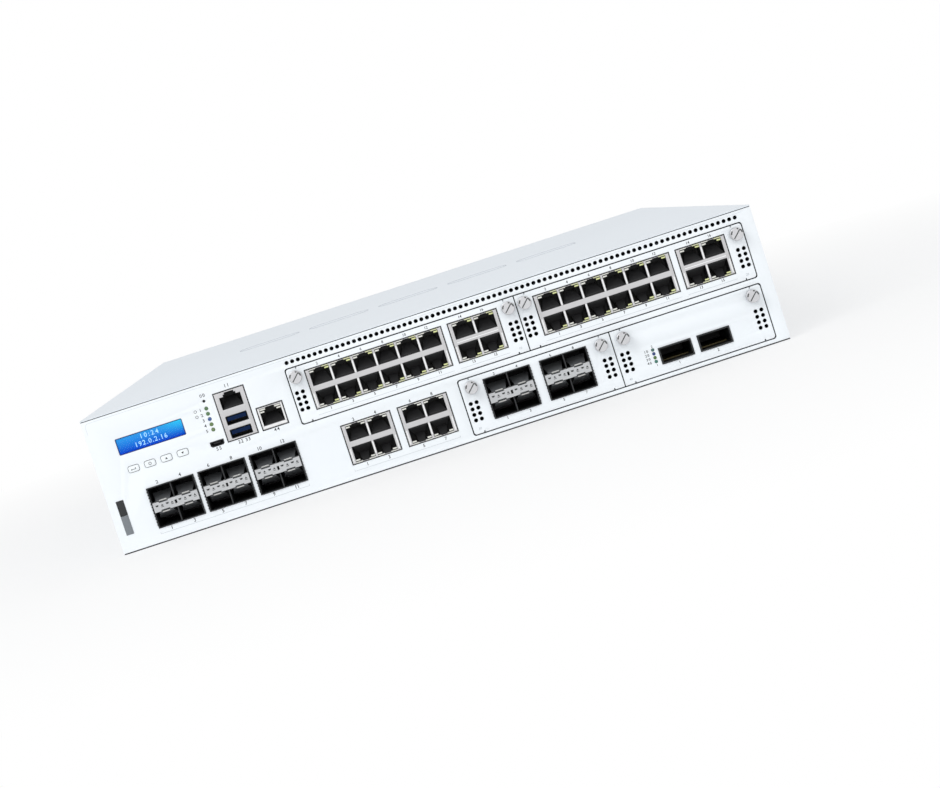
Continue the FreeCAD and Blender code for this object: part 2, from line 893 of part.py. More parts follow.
def runners():
    """Raised strips on the floor under the fan modules and under the lower power supply."""
    strips = []
    for x, z in fan_middles():
        strips.append(block(x - runner_width / 2, x + runner_width / 2, rear_y - fan_depth, rear_wall_front,
                            base_sheet, fan_bottom - slide_gap))
    middle = psu_left + psu_width / 2
    strips.append(block(middle - runner_width / 2, middle + runner_width / 2, psu_front, rear_wall_front,
                        base_sheet, psu_bottom - slide_gap))
    return strips


def standoff_places():
    """Hexagonal standoffs under the main board."""
    x0 = from_left(board_side_gap + 4 * base_sheet)
    x1 = right_side - board_side_gap - 4 * base_sheet
    ahead = front_y + sfp_body_depth + 2 * standoff_flats
    behind = main_board_back - standoff_flats
    front_right = from_left(lower_bay_left) - board_side_gap - 4 * base_sheet
    return [(x0, ahead), (front_right, ahead), (x0, behind), (x1, behind),
            ((x0 + x1) / 2, behind), (x1, midplane_front + 2 * standoff_flats)]


def chassis_base():
    """The folded channel of floor and sides, and the runners and standoffs riveted to its floor."""
    inner = base_bend - base_sheet
    profile = [
        (left_side, wall_top, 0), (left_side, 0, base_bend), (right_side, 0, base_bend),
        (right_side, wall_top, 0), (right_side - base_sheet, wall_top, 0),
        (right_side - base_sheet, base_sheet, inner), (left_side + base_sheet, base_sheet, inner),
        (left_side + base_sheet, wall_top, 0),
    ]
    channel = extruded(outline(profile, across(panel_back)), [], vector(0, rear_y - panel_back, 0))
    pins = [extruded(outline(regular(x, y, standoff_flats / 2, 6), flat(base_sheet)), [],
                     vector(0, 0, main_board_rise - board_sheet - base_sheet))
            for x, y in standoff_places()]
    cuts = []
    for y, z in ear_holes():
        cuts.append(side_rod(left_side, left_side + base_sheet, y, z, ear_hole_radius))
        cuts.append(side_rod(right_side - base_sheet, right_side, y, z, ear_hole_radius))
    for y, z in cover_screw_places():
        for way in (-1, 1):
            cuts.append(side_prism(way, y, z, cover_head_radius + cover_screw_gap, right_side, base_sheet))
    return [channel.cut(cuts), *runners(), *pins]


def cover_screws():
    """Flush screws in the sides that hold the lid's flanges."""
    screws = []
    for y, z in cover_screw_places():
        for way in (-1, 1):
            head = side_prism(way, y, z, cover_head_radius, right_side, base_sheet)
            shank = side_prism(way, y, z, cover_shank_radius, right_side - base_sheet, cover_shank_length)
            screws.append(joined(head, shank))
    return screws


def top_cover():
    """The flat lid with a flange inside each side, slotted where the cover screws pass."""
    lid = block(left_side, right_side, front_y, rear_y, body_height - lid_sheet, body_height)
    flanges = []
    for way in (-1, 1):
        outer = way * (body_width / 2 - base_sheet - seam)
        x0, x1 = sorted((outer, outer - way * lid_sheet))
        flange_front = panel_back + panel_return + 2 * slide_gap
        flange = block(x0, x1, flange_front, rear_wall_front - slide_gap,
                       body_height - lid_flange, body_height - lid_sheet)
        slots = []
        for y, z in cover_screw_places():
            half = cover_shank_radius + cover_screw_gap
            slots.append(block(x0, x1, y - half, y + half, body_height - lid_flange, z + half))
        flanges.append(flange.cut(slots))
    return joined(lid, *flanges)


# ---------------------------------------------------------------- display, keys, lights, reset


def display_window():
    """The clear window, stepped so that its lip lies behind the panel."""
    x0 = from_left(display_left)
    x1 = x0 + display_width
    z0 = display_bottom
    z1 = z0 + display_height
    gap = seat_gap
    pane = plate(rectangle(x0 + gap, x1 - gap, z0 + gap, z1 - gap, display_corner - gap), [],
                 front_y, panel_back)
    lip = plate(rectangle(x0 - display_lip, x1 + display_lip, z0 - display_lip, z1 + display_lip), [],
                panel_back, panel_back + panel_sheet)
    return joined(pane, lip)


def key(index):
    """A key cap, its stop flange behind the panel and the stem that reaches its switch."""
    middle = key_middle(index)
    half = key_width / 2
    rise = key_height / 2
    flange_front = panel_back + seat_gap
    flange_back = flange_front + key_flange
    cap = plate(rectangle(middle - half, middle + half, key_rise - rise, key_rise + rise, key_corner), [],
                front_y - key_proud, flange_front)
    spread = key_gap + key_flange
    flange = plate(rectangle(middle - half - spread, middle + half + spread,
                             key_rise - rise - spread, key_rise + rise + spread), [],
                   flange_front, flange_back)
    stem = faceted_rod(middle, key_rise, key_stem_radius, pin_sides, flange_back, flange_back + key_stem)
    return joined(cap, flange, stem)


def reset_button():
    """The sunk reset plunger behind its pinhole."""
    x = from_left(light_left)
    front = front_y + reset_sunk
    flange = panel_back + seat_gap
    pin = faceted_rod(x, reset_rise, reset_radius, pin_sides, front, flange)
    stop = faceted_rod(x, reset_rise, reset_flange_radius, pin_sides, flange, flange + key_flange)
    stem = faceted_rod(x, reset_rise, reset_radius, pin_sides, flange + key_flange,
                       panel_back + display_board_back - reset_travel - slide_gap)
    return joined(pin, stop, stem)


def status_light_pipes():
    """Five clear rods on one carrier behind the panel."""
    x = from_left(light_left)
    rises = light_rises()
    half = light_carrier
    carrier = block(x - half, x + half, panel_back, panel_back + light_carrier,
                    rises[-1] - half, rises[0] + half)
    rods = [faceted_rod(x, rise, light_radius, pin_sides, front_y, panel_back) for rise in rises]
    return joined(carrier, *rods)


def front_io_boards():
    """The upright display board with its screen and key switches, and the level socket board."""
    back = panel_back + display_board_back
    x0 = key_middle(0) - key_width
    x1 = from_left(light_left) + reset_flange_radius + key_flange
    z0 = io_board_rise + slide_gap
    z1 = reset_rise + 2 * reset_flange_radius
    upright = block(x0, x1, back, back + board_sheet, z0, z1)
    screen = block(from_left(display_left), from_left(display_left + display_width),
                   panel_back + panel_sheet, back,
                   display_bottom, display_bottom + display_height)
    stem_end = panel_back + seat_gap + key_flange + key_stem
    switches = [block(key_middle(i) - key_height / 2, key_middle(i) + key_height / 2,
                      stem_end + key_travel + slide_gap, back, key_rise - key_height / 2,
                      key_rise + key_height / 2) for i in range(4)]
    level = block(from_left(micro_left) - micro_height, from_left(management_left + management_width),
                  board_front, panel_back + io_board_depth,
                  io_board_rise - board_sheet, io_board_rise)
    spacers = []
    for x in (from_left(micro_left), from_left(management_left + management_width) - standoff_flats):
        corners = regular(x, panel_back + io_board_depth - standoff_flats, standoff_flats / 2, pin_sides)
        spacers.append(extruded(outline(corners, flat(main_board_rise)), [],
                                vector(0, 0, io_board_rise - board_sheet - main_board_rise)))
    return joined(upright, screen, *switches), joined(level, *spacers)


# ---------------------------------------------------------------- inside


def plug_receiver(middle, level, width, front, back):
    """A slotted edge connector: it takes a board tongue of the width at the level of its middle."""
    half = width / 2 + slide_gap
    high = board_sheet / 2 + slide_gap
    body = block(middle - half - plug_wall, middle + half + plug_wall, front, back,
                 level - plug_height / 2, level + plug_height / 2)
    return body.cut(block(middle - half, middle + half, front, back - seat_gap, level - high, level + high))


def main_board():
    """The main board in the shape of an L around the lower bay, and the midplane behind the modules."""
    x0 = from_left(base_sheet + board_side_gap)
    x1 = right_side - base_sheet - board_side_gap
    step = from_left(lower_bay_left) - board_side_gap
    deep = midplane_front + tongue_reach + slide_gap
    corners = [(x0, board_front, 0), (step, board_front, 0), (step, deep, 0), (x1, deep, 0),
               (x1, main_board_back, 0), (x0, main_board_back, 0)]
    bottom = main_board_rise - board_sheet
    board = extruded(outline(corners, flat(bottom)), [], vector(0, 0, board_sheet))
    upright = block(from_left(upper_bay_left), bay_right, deep, deep + board_sheet,
                    main_board_rise, upper_bay_bottom + bay_height)
    receivers = []
    for row in ("upper", "lower"):
        for index in (0, 1):
            left, right = module_span(row, index)
            level = module_rows[row][1] + module_board_rise - board_sheet / 2
            receivers.append(plug_receiver((left + right) / 2, level, tongue_width, midplane_front, deep))
    return board, joined(upright, *receivers)


def cooler(left):
    """A finned block over a processor."""
    x0 = from_left(left)
    base = main_board_rise
    pitch = (cooler_width - cooler_fin) / (cooler_fin_count - 1)
    points = [(x0, base, 0), (x0 + cooler_width, base, 0)]
    for index in range(cooler_fin_count - 1, -1, -1):
        fin = x0 + pitch * index
        points += [(fin + cooler_fin, base + cooler_height, 0), (fin, base + cooler_height, 0)]
        if index:
            points += [(fin, base + cooler_base, 0), (fin - pitch + cooler_fin, base + cooler_base, 0)]
    return extruded(outline(points, across(cooler_front)), [], vector(0, cooler_depth, 0))


def memory_module(index):
    """A memory stick upright in its socket."""
    x = from_left(memory_left + memory_pitch * index)
    socket = memory_sheet / 2
    end = memory_front + memory_length
    stick = block(x - socket / 2, x + socket / 2, memory_front + socket, end - socket,
                  main_board_rise, main_board_rise + memory_height)
    holder = block(x - socket, x + socket, memory_front, end, main_board_rise, main_board_rise + 3 * socket)
    return joined(stick, holder)


def power_backplane():
    """The upright board that both power supplies plug into."""
    back = psu_front - psu_card_reach
    middle = psu_left + psu_width / 2
    upright = block(psu_left, psu_left + psu_width, back - board_sheet, back,
                    base_sheet, psu_bottoms[1] + psu_height)
    receivers = [plug_receiver(middle, bottom + psu_height / 2, psu_card_width, 0, psu_card_reach - slide_gap)
                 for bottom in psu_bottoms]
    for receiver in receivers:
        receiver.rotate(vector(middle, 0, 0), vector(0, 0, 1), 180)
        receiver.translate(vector(0, psu_front - slide_gap, 0))
    return joined(upright, *receivers)


# ---------------------------------------------------------------- rear modules


def handle(x, z, height):
    """A strap handle standing off the rear plane, bent at both ends."""
    low = z - height / 2
    high = z + height / 2
    out = rear_y + handle_reach
    profile = [
        (rear_y, low, 0), (out, low, handle_bend), (out, high, handle_bend), (rear_y, high, 0),
        (rear_y, high - handle_bar, 0), (out - handle_bar, high - handle_bar, 0),
        (out - handle_bar, low + handle_bar, 0), (rear_y, low + handle_bar, 0),
    ]
    strap = outline(profile, along(x - handle_width / 2))
    return extruded(strap, [], vector(handle_width, 0, 0))


def cross(x, z, reach, y0, y1):
    """Two straight wires across an opening, level and upright."""
    half = guard_wire / 2
    return [block(x - reach, x + reach, y0, y1, z - half, z + half),
            block(x - half, x + half, y0, y1, z - reach, z + reach)]


def blade(x, z, hub, root, tip, reach, middle_y):
    """One pitched blade, wider at its tip, rooted inside the hub."""
    turn = math.radians(blade_pitch)
    chord_way = vector(0, math.cos(turn), math.sin(turn))
    thick_way = vector(0, -math.sin(turn), math.cos(turn)) * blade_sheet
    inner = vector(x + hub - blade_sheet, middle_y, z) - thick_way * 0.5
    outer = vector(x + reach, middle_y, z) - thick_way * 0.5
    points = [inner - chord_way * (root / 2), outer - chord_way * (tip / 2),
              outer + chord_way * (tip / 2), inner + chord_way * (root / 2)]
    return Part.Face(Part.makePolygon(points + [points[0]])).extrude(thick_way)


def rotor(x, z, hub, blades, root, tip, duct, y0, y1, shaft):
    """A fan rotor: hub with two flats to each blade, pitched blades and the shaft in the stator."""
    half_tip = tip * math.sin(math.radians(blade_pitch)) / 2 + blade_sheet
    reach = math.sqrt((duct - blade_tip_gap) ** 2 - half_tip ** 2)
    body = faceted_rod(x, z, hub, 2 * blades, y0, y1)
    pin = faceted_rod(x, z, shaft, shaft_sides, y0 - shaft * 2, y0)
    first = blade(x, z, hub, root, tip, reach, (y0 + y1) / 2)
    ring = []
    for index in range(blades):
        wing = first.copy()
        wing.rotate(vector(x, 0, z), vector(0, 1, 0), 360.0 * index / blades)
        ring.append(wing)
    return joined(body, pin, *ring)


fan_shaft_radius = 2.5
psu_shaft_radius = 1.5
fan_front = rear_y - fan_depth
fan_stator = 6.0
fan_rotor_front = fan_front + fan_stator + slide_gap
fan_rotor_back = rear_y - 3 * guard_wire


def fan_frame(x, z):
    """A fan module: square housing with a round duct, stator, finger guard and strap handle."""
    half = fan_size / 2
    shell = plate(rectangle(x - half, x + half, z - half, z + half, fan_corner),
                  [regular_around(x, z, fan_duct_radius, duct_sides)], fan_front, rear_y)
    stator = faceted_rod(x, z, fan_hub_radius, shaft_sides, fan_front, fan_front + fan_stator)
    reach = fan_duct_radius + guard_wire
    arms = cross(x, z, reach, fan_front, fan_front + fan_stator)
    guard = cross(x, z, reach, rear_y - guard_wire, rear_y)
    grip = handle(x + half - fan_handle_inset - handle_width / 2, z, fan_handle_height)
    bore = plate(regular_around(x, z, fan_shaft_radius + rotor_shaft_gap, shaft_sides), [],
                 fan_front + guard_wire / 2, fan_front + fan_stator)
    return joined(shell, stator, grip, *arms, *guard).cut(bore)


def fan_rotor(x, z):
    return rotor(x, z, fan_hub_radius, fan_blades, fan_blade_root, fan_blade_tip, fan_duct_radius,
                 fan_rotor_front, fan_rotor_back, fan_shaft_radius)


psu_fan_x = psu_left + psu_fan_left
psu_duct_front = rear_y - psu_duct_depth
latch_x = psu_left + psu_width - latch_width - psu_wall
latch_pin_y = rear_y - latch_depth + 2 * latch_pin_radius


def psu_case(bottom):
    """A power supply: sheet tube with a solid rear end that holds the inlet, duct and latch slot."""
    left = psu_left
    right = left + psu_width
    top = bottom + psu_height
    middle = (bottom + top) / 2
    wall = psu_wall
    case = block(left, right, psu_front, rear_y, bottom, top)
    inside = block(left + wall, right - wall, psu_front, rear_y - psu_block, bottom + wall, top - wall)
    card = block((left + right - psu_card_width) / 2, (left + right + psu_card_width) / 2,
                 psu_front - psu_card_reach + seat_gap, rear_y - psu_block,
                 middle - board_sheet / 2, middle + board_sheet / 2)
    x0 = left + inlet_left
    x1 = x0 + inlet_width
    z0 = middle - inlet_height / 2
    z1 = middle + inlet_height / 2
    mouth = [(x0, z0, 0), (x1, z0, 0), (x1, z1 - inlet_chamfer, 0), (x1 - inlet_chamfer, z1, 0),
             (x0 + inlet_chamfer, z1, 0), (x0, z1 - inlet_chamfer, 0)]
    inlet = plate(mouth, [], rear_y - inlet_depth, rear_y)
    blades = []
    for offset, rise in ((-inlet_blade_spacing, -1.5), (0, 2.5), (inlet_blade_spacing, -1.5)):
        x = (x0 + x1) / 2 + offset
        blades.append(block(x - inlet_blade / 2, x + inlet_blade / 2, rear_y - inlet_depth,
                            rear_y - inlet_depth + inlet_blade_length,
                            middle + rise - inlet_blade_height / 2, middle + rise + inlet_blade_height / 2))
    duct = plate(regular_around(psu_fan_x, middle, psu_duct_radius, duct_sides), [], psu_duct_front, rear_y)
    shaft = plate(regular_around(psu_fan_x, middle, psu_shaft_radius + rotor_shaft_gap, shaft_sides), [],
                  psu_duct_front - 2 * psu_shaft_radius - seat_gap, psu_duct_front)
    slot = block(latch_x - latch_room, right, rear_y - latch_depth, rear_y,
                 middle - latch_height / 2 - slide_gap, middle + latch_height / 2 + slide_gap)
    guard = cross(psu_fan_x, middle, psu_duct_radius + wall / 2, rear_y - guard_wire, rear_y)
    grip = handle(left + psu_handle_left, middle, psu_handle_height)
    pin_x = latch_x + latch_width / 2
    pin = extruded(outline(regular(pin_x, latch_pin_y, latch_pin_radius, shaft_sides),
                           flat(middle - latch_height / 2 - slide_gap)), [],
                   vector(0, 0, latch_height + 2 * slide_gap))
    shell = case.cut([inside, inlet, duct, shaft, slot])
    return joined(shell, card, grip, pin, *blades, *guard)


def psu_rotor(bottom):
    middle = bottom + psu_height / 2
    return rotor(psu_fan_x, middle, psu_hub_radius, psu_blades, psu_blade_root, psu_blade_tip, psu_duct_radius,
                 psu_duct_front + slide_gap, rear_y - 2 * guard_wire, psu_shaft_radius)


def psu_latch(bottom):
    """The sprung release lever on its pin at the supply's outer edge."""
    middle = bottom + psu_height / 2
    low = middle - latch_height / 2
    x0 = latch_x
    x1 = x0 + latch_width
    inner = rear_y - latch_depth + slide_gap
    out = rear_y + latch_reach
    corners = [(x0, inner, 0), (x1, inner, 0), (x1, out - latch_width, 0), (x1 - 1, out, 0),
               (x0 - latch_width, out, 0), (x0 - latch_width, out - latch_width, 0),
               (x0, out - 2 * latch_width, 0)]
    lever = extruded(outline(corners, flat(low)), [], vector(0, 0, latch_height))
    hole = regular_around((x0 + x1) / 2, latch_pin_y, latch_pin_radius + rotor_shaft_gap, shaft_sides)
    bore = extruded(outline(hole, flat(low)), [], vector(0, 0, latch_height))
    return lever.cut(bore)


# ---------------------------------------------------------------- power switch

switch_pivot_y = rear_y - switch_pivot_sunk


def switch_housing():
    """The rocker's frame: a rim on the back sheet and a box behind it with a pivot hole each side."""
    x = switch_x
    half = switch_width / 2
    rise = switch_height / 2
    wall = switch_wall - seat_gap
    opening = rectangle(x - half, x + half, switch_rise - rise, switch_rise + rise)
    rim = plate(rectangle(x - half - wall - switch_rim, x + half + wall + switch_rim,
                          switch_rise - rise - wall - switch_rim, switch_rise + rise + wall + switch_rim),
                [opening], rear_y, rear_y + switch_rim_sheet)
    body = rectangle(x - half - wall, x + half + wall, switch_rise - rise - wall, switch_rise + rise + wall)
    box = plate(body, [opening], rear_y - switch_depth, rear_y)
    floor = plate(body, [], rear_y - switch_depth - wall, rear_y - switch_depth)
    hole = regular_around(switch_pivot_y, switch_rise, switch_pin_radius + switch_pin_gap, shaft_sides)
    pivot = extruded(outline(hole, along(x - half - wall)), [], vector(2 * (half + wall), 0, 0))
    return joined(rim, box, floor).cut(pivot)


def switch_rocker():
    """The rocker: its two face planes meet at a shallow angle, and its ends follow the swing."""
    x = switch_x
    half = switch_width / 2 - switch_gap
    radius = switch_height / 2 - switch_gap
    tilt = math.radians(switch_swing / 2)
    face = rear_y + switch_rim_sheet - switch_pivot_y
    rise = radius * math.cos(math.asin(min(face / radius, 1.0)) * 0.5)
    corners = [
        (switch_pivot_y - switch_pin_radius * 2, -switch_pin_radius * 2, 0),
        (switch_pivot_y + face * 0.2, -rise, 0),
        (switch_pivot_y + face * 0.8, -rise, 0),
        (switch_pivot_y + face * 0.6, 0, 0),
        (switch_pivot_y + face * 0.8, rise, 0),
        (switch_pivot_y + face * 0.2, rise, 0),
        (switch_pivot_y - switch_pin_radius * 2, switch_pin_radius * 2, 0),
    ]
    paddle = extruded(outline(corners, along(x - half)), [], vector(2 * half, 0, 0))
    paddle.translate(vector(0, 0, switch_rise))
    pin_half = switch_width / 2 + switch_wall - 2 * switch_gap
    pin = extruded(outline(regular(switch_pivot_y, switch_rise, switch_pin_radius, shaft_sides),
                           along(x - pin_half)), [], vector(2 * pin_half, 0, 0))
    rocker = joined(paddle, pin)
    rocker.rotate(vector(x, switch_pivot_y, switch_rise), vector(1, 0, 0), math.degrees(tilt))
    return rocker


# ---------------------------------------------------------------- the pieces

save("chassis_base", *chassis_base())
save("rear_wall", rear_wall())
save("earth_insert", earth_insert())
save("top_cover", top_cover())
save("front_panel", front_panel())
save("module_bay_frame", bay_frame())
save("cover_screws", *cover_screws())
save("circuit_boards", *main_board(), power_backplane(), *front_io_boards())
save("heatsinks", *[cooler(left) for left in cooler_lefts])
save("memory_modules", *[memory_module(index) for index in range(memory_count)])
save("display_window", display_window())
for key_index, key_name in enumerate(("enter", "escape", "up", "down")):
    save("key_" + key_name, key(key_index))
save("reset_button", reset_button())
save("status_light_pipes", status_light_pipes())

fixed_jacks = [console_block(), management_block(), micro_socket()]
fixed_jacks += [jack_block(left, main_board_rise, 2) for left in copper_lefts()]
save("fixed_jack_shields", *[pair[0] for pair in fixed_jacks])
save("fixed_jack_housings", *[pair[1] for pair in fixed_jacks])
fixed_cages = [sfp_block(left, main_board_rise) for left in optical_lefts()]
save("fixed_sfp_cages", *[pair[0] for pair in fixed_cages])
save("fixed_sfp_bars", *[pair[1] for pair in fixed_cages])

for module_name, module_index in (("module_a", 0), ("module_b", 1)):
    seat = upper_bay_bottom + module_board_rise
    jacks = [jack_block(left, seat, columns) for left, columns in jack_module_blocks(module_index)]
    openings = [window_round(left, left + jack_block_width(columns), seat, seat + jack_block_height)
                for left, columns in jack_module_blocks(module_index)]
    save(module_name + "_bezel", bezel("upper", module_index, openings))
    save(module_name + "_board", module_board("upper", module_index))
    save(module_name + "_jack_shields", *[pair[0] for pair in jacks])
    save(module_name + "_jack_housings", *[pair[1] for pair in jacks])

seat = lower_bay_bottom + module_board_rise
cages = [sfp_block(left, seat) for left in optical_module_blocks()]
openings = [window_round(left, left + sfp_block_width, seat, seat + sfp_block_height)
            for left in optical_module_blocks()]
save("module_c_bezel", bezel("lower", 0, openings))
save("module_c_board", module_board("lower", 0))
save("module_c_sfp_cages", *[pair[0] for pair in cages])
save("module_c_sfp_bars", *[pair[1] for pair in cages])

openings = [window_round(left, left + qsfp_width + 2 * qsfp_wall, seat, seat + qsfp_height + 2 * qsfp_wall)
            for left in qsfp_lefts()]
save("module_d_bezel", bezel("lower", 1, openings))
save("module_d_board", module_board("lower", 1))
save("module_d_qsfp_cages", *[qsfp_cage(left, seat) for left in qsfp_lefts()])

for module_name, row_name, module_index in (("module_a", "upper", 0), ("module_b", "upper", 1),
                                            ("module_c", "lower", 0), ("module_d", "lower", 1)):
    for side_name, place in zip(("left", "right"), screw_places(row_name, module_index)):
        save(module_name + "_thumbscrew_" + side_name, thumbscrew(*place))

for psu_index, psu_rise in enumerate(psu_bottoms):
    psu_name = "psu_" + str(psu_index + 1)
    save(psu_name + "_case", psu_case(psu_rise))
    save(psu_name + "_latch", psu_latch(psu_rise))
    save(psu_name + "_fan_rotor", psu_rotor(psu_rise))

for fan_index, fan_place in enumerate(fan_middles()):
    fan_name = "fan_" + str(fan_index + 1)
    save(fan_name + "_frame", fan_frame(*fan_place))
    save(fan_name + "_rotor", fan_rotor(*fan_place))

save("power_switch_housing", switch_housing())
save("power_switch_rocker", switch_rocker())
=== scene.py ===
import json
import math

import bmesh
import bpy
from mathutils import Matrix, Vector


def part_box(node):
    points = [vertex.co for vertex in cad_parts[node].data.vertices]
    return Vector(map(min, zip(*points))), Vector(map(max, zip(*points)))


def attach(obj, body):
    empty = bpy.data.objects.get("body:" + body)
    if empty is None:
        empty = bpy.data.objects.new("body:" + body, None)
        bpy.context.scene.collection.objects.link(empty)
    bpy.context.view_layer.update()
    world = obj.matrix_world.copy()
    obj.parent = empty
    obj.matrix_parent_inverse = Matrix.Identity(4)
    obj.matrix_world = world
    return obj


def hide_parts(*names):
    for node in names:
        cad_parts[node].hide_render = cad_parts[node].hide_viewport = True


# The looks of a 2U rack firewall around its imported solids. Lengths are in millimetres until a shape
# becomes an object; X runs to the right, the front faces -Y and Z is up, as in the frame. A box is
# x0, x1, z0, z1 as seen from the front.
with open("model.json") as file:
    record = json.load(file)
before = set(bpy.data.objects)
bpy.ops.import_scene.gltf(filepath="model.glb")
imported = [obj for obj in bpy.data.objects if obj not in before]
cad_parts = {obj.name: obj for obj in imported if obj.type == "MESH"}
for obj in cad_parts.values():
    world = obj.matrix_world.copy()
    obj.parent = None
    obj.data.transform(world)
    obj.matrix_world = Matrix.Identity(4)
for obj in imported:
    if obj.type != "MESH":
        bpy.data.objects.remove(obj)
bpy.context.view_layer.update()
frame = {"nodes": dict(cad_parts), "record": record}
MM = 0.001

# Camera: a long lens in front, a little above, rolled so that the front edge climbs to the right
camera_place = (-0.00726, -1.77881, 0.15309)
camera_pitch = 4.786
camera_yaw = 0.939
camera_roll = 17.94
camera_lens = 91.07
camera_sensor = 36.0

# Sheets, gaps and edges
edge = 0.12
panel_sheet = 1.5
panel_foot = 0.75
fold_depth = 9.0
fold_sheet = 0.8
fold_inset = 1.6
bezel_fold_inset = 7.2
bezel_fold_rise = 0.3
window_gap = 0.2
bay_grow = 0.35
bezel_gap = 0.4
bezel_trim = 0.15
seam_height = 0.45
bay_corner = 1.8
bezel_corner = 1.6
shade_overlap = 0.02

# Holes for the lamps, the reset plunger and the screws, by radius
light_hole = 1.25
module_light_hole = 1.1
reset_hole = 0.95
screw_hole = 1.8

# Printing
printed = 0.03
module_figure = 2.4
copper_figure = 2.8
single_figure = 3.0
optical_figure = 3.1
light_figure = 2.7
swell = 0.04
line_width = 0.22

# Vents and the small ticks in the bezels' edges
vent_radius = 1.3
vent_left = 133.4
vent_rise = 83.0
vent_count = 81
vent_pitch = 3.67
vent_steps = 20
bezel_vent_rise = 9.0
bezel_vent_column = 3.8
bezel_vent_row = 3.6
tick_inset = 6.6
tick_width = 0.8
tick_depth = 1.0

# Network sockets. A mouth is a half profile of (half width, height) points, and the two strokes of a
# lamp are (length, low, high) beside its notch.
jack_width = 12.6
wide_jack_width = 13.6
jack_pitch = 14.25
jack_margin = 2.75
jack_row_gap = 3.9
jack_proud = 0.3
jack_body_depth = 26.0
ganged_half = jack_width / 2 + 0.15
ganged_mouth = ((ganged_half, -0.25), (ganged_half, 9.75), (2.1, 9.75), (2.1, 10.2))
stepped_mouth = ((6.85, 0), (6.85, 7.9), (4.1, 7.9), (4.1, 9.3), (3.1, 9.3), (3.1, 10.4))
single_mouth = ((6.85, 0), (6.85, 10.95), (2.9, 10.95), (2.4, 11.3))
ganged_strokes = ((2.6, 8.3, 9.2), (4.1, 9.85, 10.4))
single_strokes = ((2.7, 8.3, 9.2), (3.7, 9.8, 10.7))
shield_sheet = 0.4
finger_band_width = 0.55
rib_half = 0.45
rib_height = 0.1
finger_pitch = 1.6
finger_width = 0.5
contact_count = 8
contact_pitch = 1.02
contact_path = ((3.0, 0.9), (10.0, 6.4), (12.0, 7.0))

# Dark arcs painted on the rim of a thumbscrew for the knurl's shade and reflections, in degrees from +X
# towards +Z
rim_reflection_arcs = ((2, 40), (60, 78), (134, 172))

# Optical cages
sfp_width = 14.2
sfp_height = 9.4
sfp_wall = 0.7
sfp_skin = 0.45
sfp_bar_height = 6.2
sfp_proud = 0.5
sfp_pitch = 33.45
sfp_module_pitch = 37.0
sfp_block_width = 2 * sfp_width + 3 * sfp_wall
block_mark = ((-1.05, 0.5), (-0.6, -0.5), (0.6, -0.5), (1.05, 0.5))
mark_places = ((2.4, "block"), (5.7, "arrow"), (9.1, "block"), (12.1, "arrow"))
spring_half = 0.55
spring_proud = 0.25
qsfp_pitch = 25.4
qsfp_block_width = 21.2

# Keys
key_names = ("enter", "escape", "up", "down")
key_half_width = 3.75
key_half_height = 2.25
key_corner = 1.45

# Fans: duct radius, hub radius, blades, guard rings, guard wire radius and shaft radius
module_fan = (37.0, 16.0, 7, 5, 0.75, 2.5)
supply_fan = (16.5, 7.5, 5, 3, 0.5, 1.5)
supply_fan_inset = 48.0


# ---------------------------------------------------------------- places


def limits(node):
    """A node's box as x0, x1, y0, y1, z0, z1 in millimetres."""
    low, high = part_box(node)
    return [value / MM for pair in zip(low, high) for value in pair]


def centre(node):
    x0, x1, _, _, z0, z1 = limits(node)
    return (x0 + x1) / 2, (z0 + z1) / 2


def around(box, gap):
    x0, x1, z0, z1 = box
    return x0 - gap, x1 + gap, z0 - gap, z1 + gap


def about(x, z, half_width, half_height):
    return x - half_width, x + half_width, z - half_height, z + half_height


left_side, right_side, front, _, _, panel_top = limits("front_panel")
rear = limits("chassis_base")[3]
lid_top = limits("top_cover")[5]
lid_underside = lid_top - 0.8


def from_left(distance):
    return left_side + distance


# ---------------------------------------------------------------- shapes


def arc(x, z, radius, start, end, steps):
    """Points along an arc between two angles in degrees, with both ends."""
    turns = [math.radians(start + (end - start) * step / steps) for step in range(steps + 1)]
    return [(x + radius * math.cos(t), z + radius * math.sin(t)) for t in turns]


def circle(x, z, radius, steps=24):
    return arc(x, z, radius, 0, 360, steps)[:-1]


def rounded(x0, x1, z0, z1, radius=0.0, steps=6):
    """Corner points of a rectangle, counter-clockwise, with round corners where a radius is given."""
    if radius <= 0:
        return [(x0, z0), (x1, z0), (x1, z1), (x0, z1)]
    points = []
    for x, z, start in ((x1 - radius, z0 + radius, -90), (x1 - radius, z1 - radius, 0),
                        (x0 + radius, z1 - radius, 90), (x0 + radius, z0 + radius, 180)):
        points += arc(x, z, radius, start, start + 90, steps)
    return points


def triangle(x, z, size, way):
    return [(x - size, z - way * size * 0.7), (x + size, z - way * size * 0.7), (x, z + way * size * 0.8)]


def facing(x, z, height):
    """Places (a, b, h) with a and b across the front and h in depth."""
    return Vector((x, height, z))


def band(bm, lower, upper):
    """The faces between two loops with as many points."""
    for step in range(len(lower)):
        after = (step + 1) % len(lower)
        bm.faces.new((lower[step], lower[after], upper[after], upper[step]))


def skin(bm, loops):
    """A closed solid through its loops, with a flat face at each end."""
    bm.faces.new(loops[0][::-1])
    bm.faces.new(loops[-1])
    for lower, upper in zip(loops, loops[1:]):
        band(bm, lower, upper)


def prism(bm, points, y0, y1):
    """A closed solid with the same outline at both ends."""
    near, far = ([bm.verts.new(facing(a, b, y)) for a, b in points] for y in (y0, y1))
    skin(bm, (far, near))


def bar(bm, box, y0, y1):
    prism(bm, rounded(*box), y0, y1)


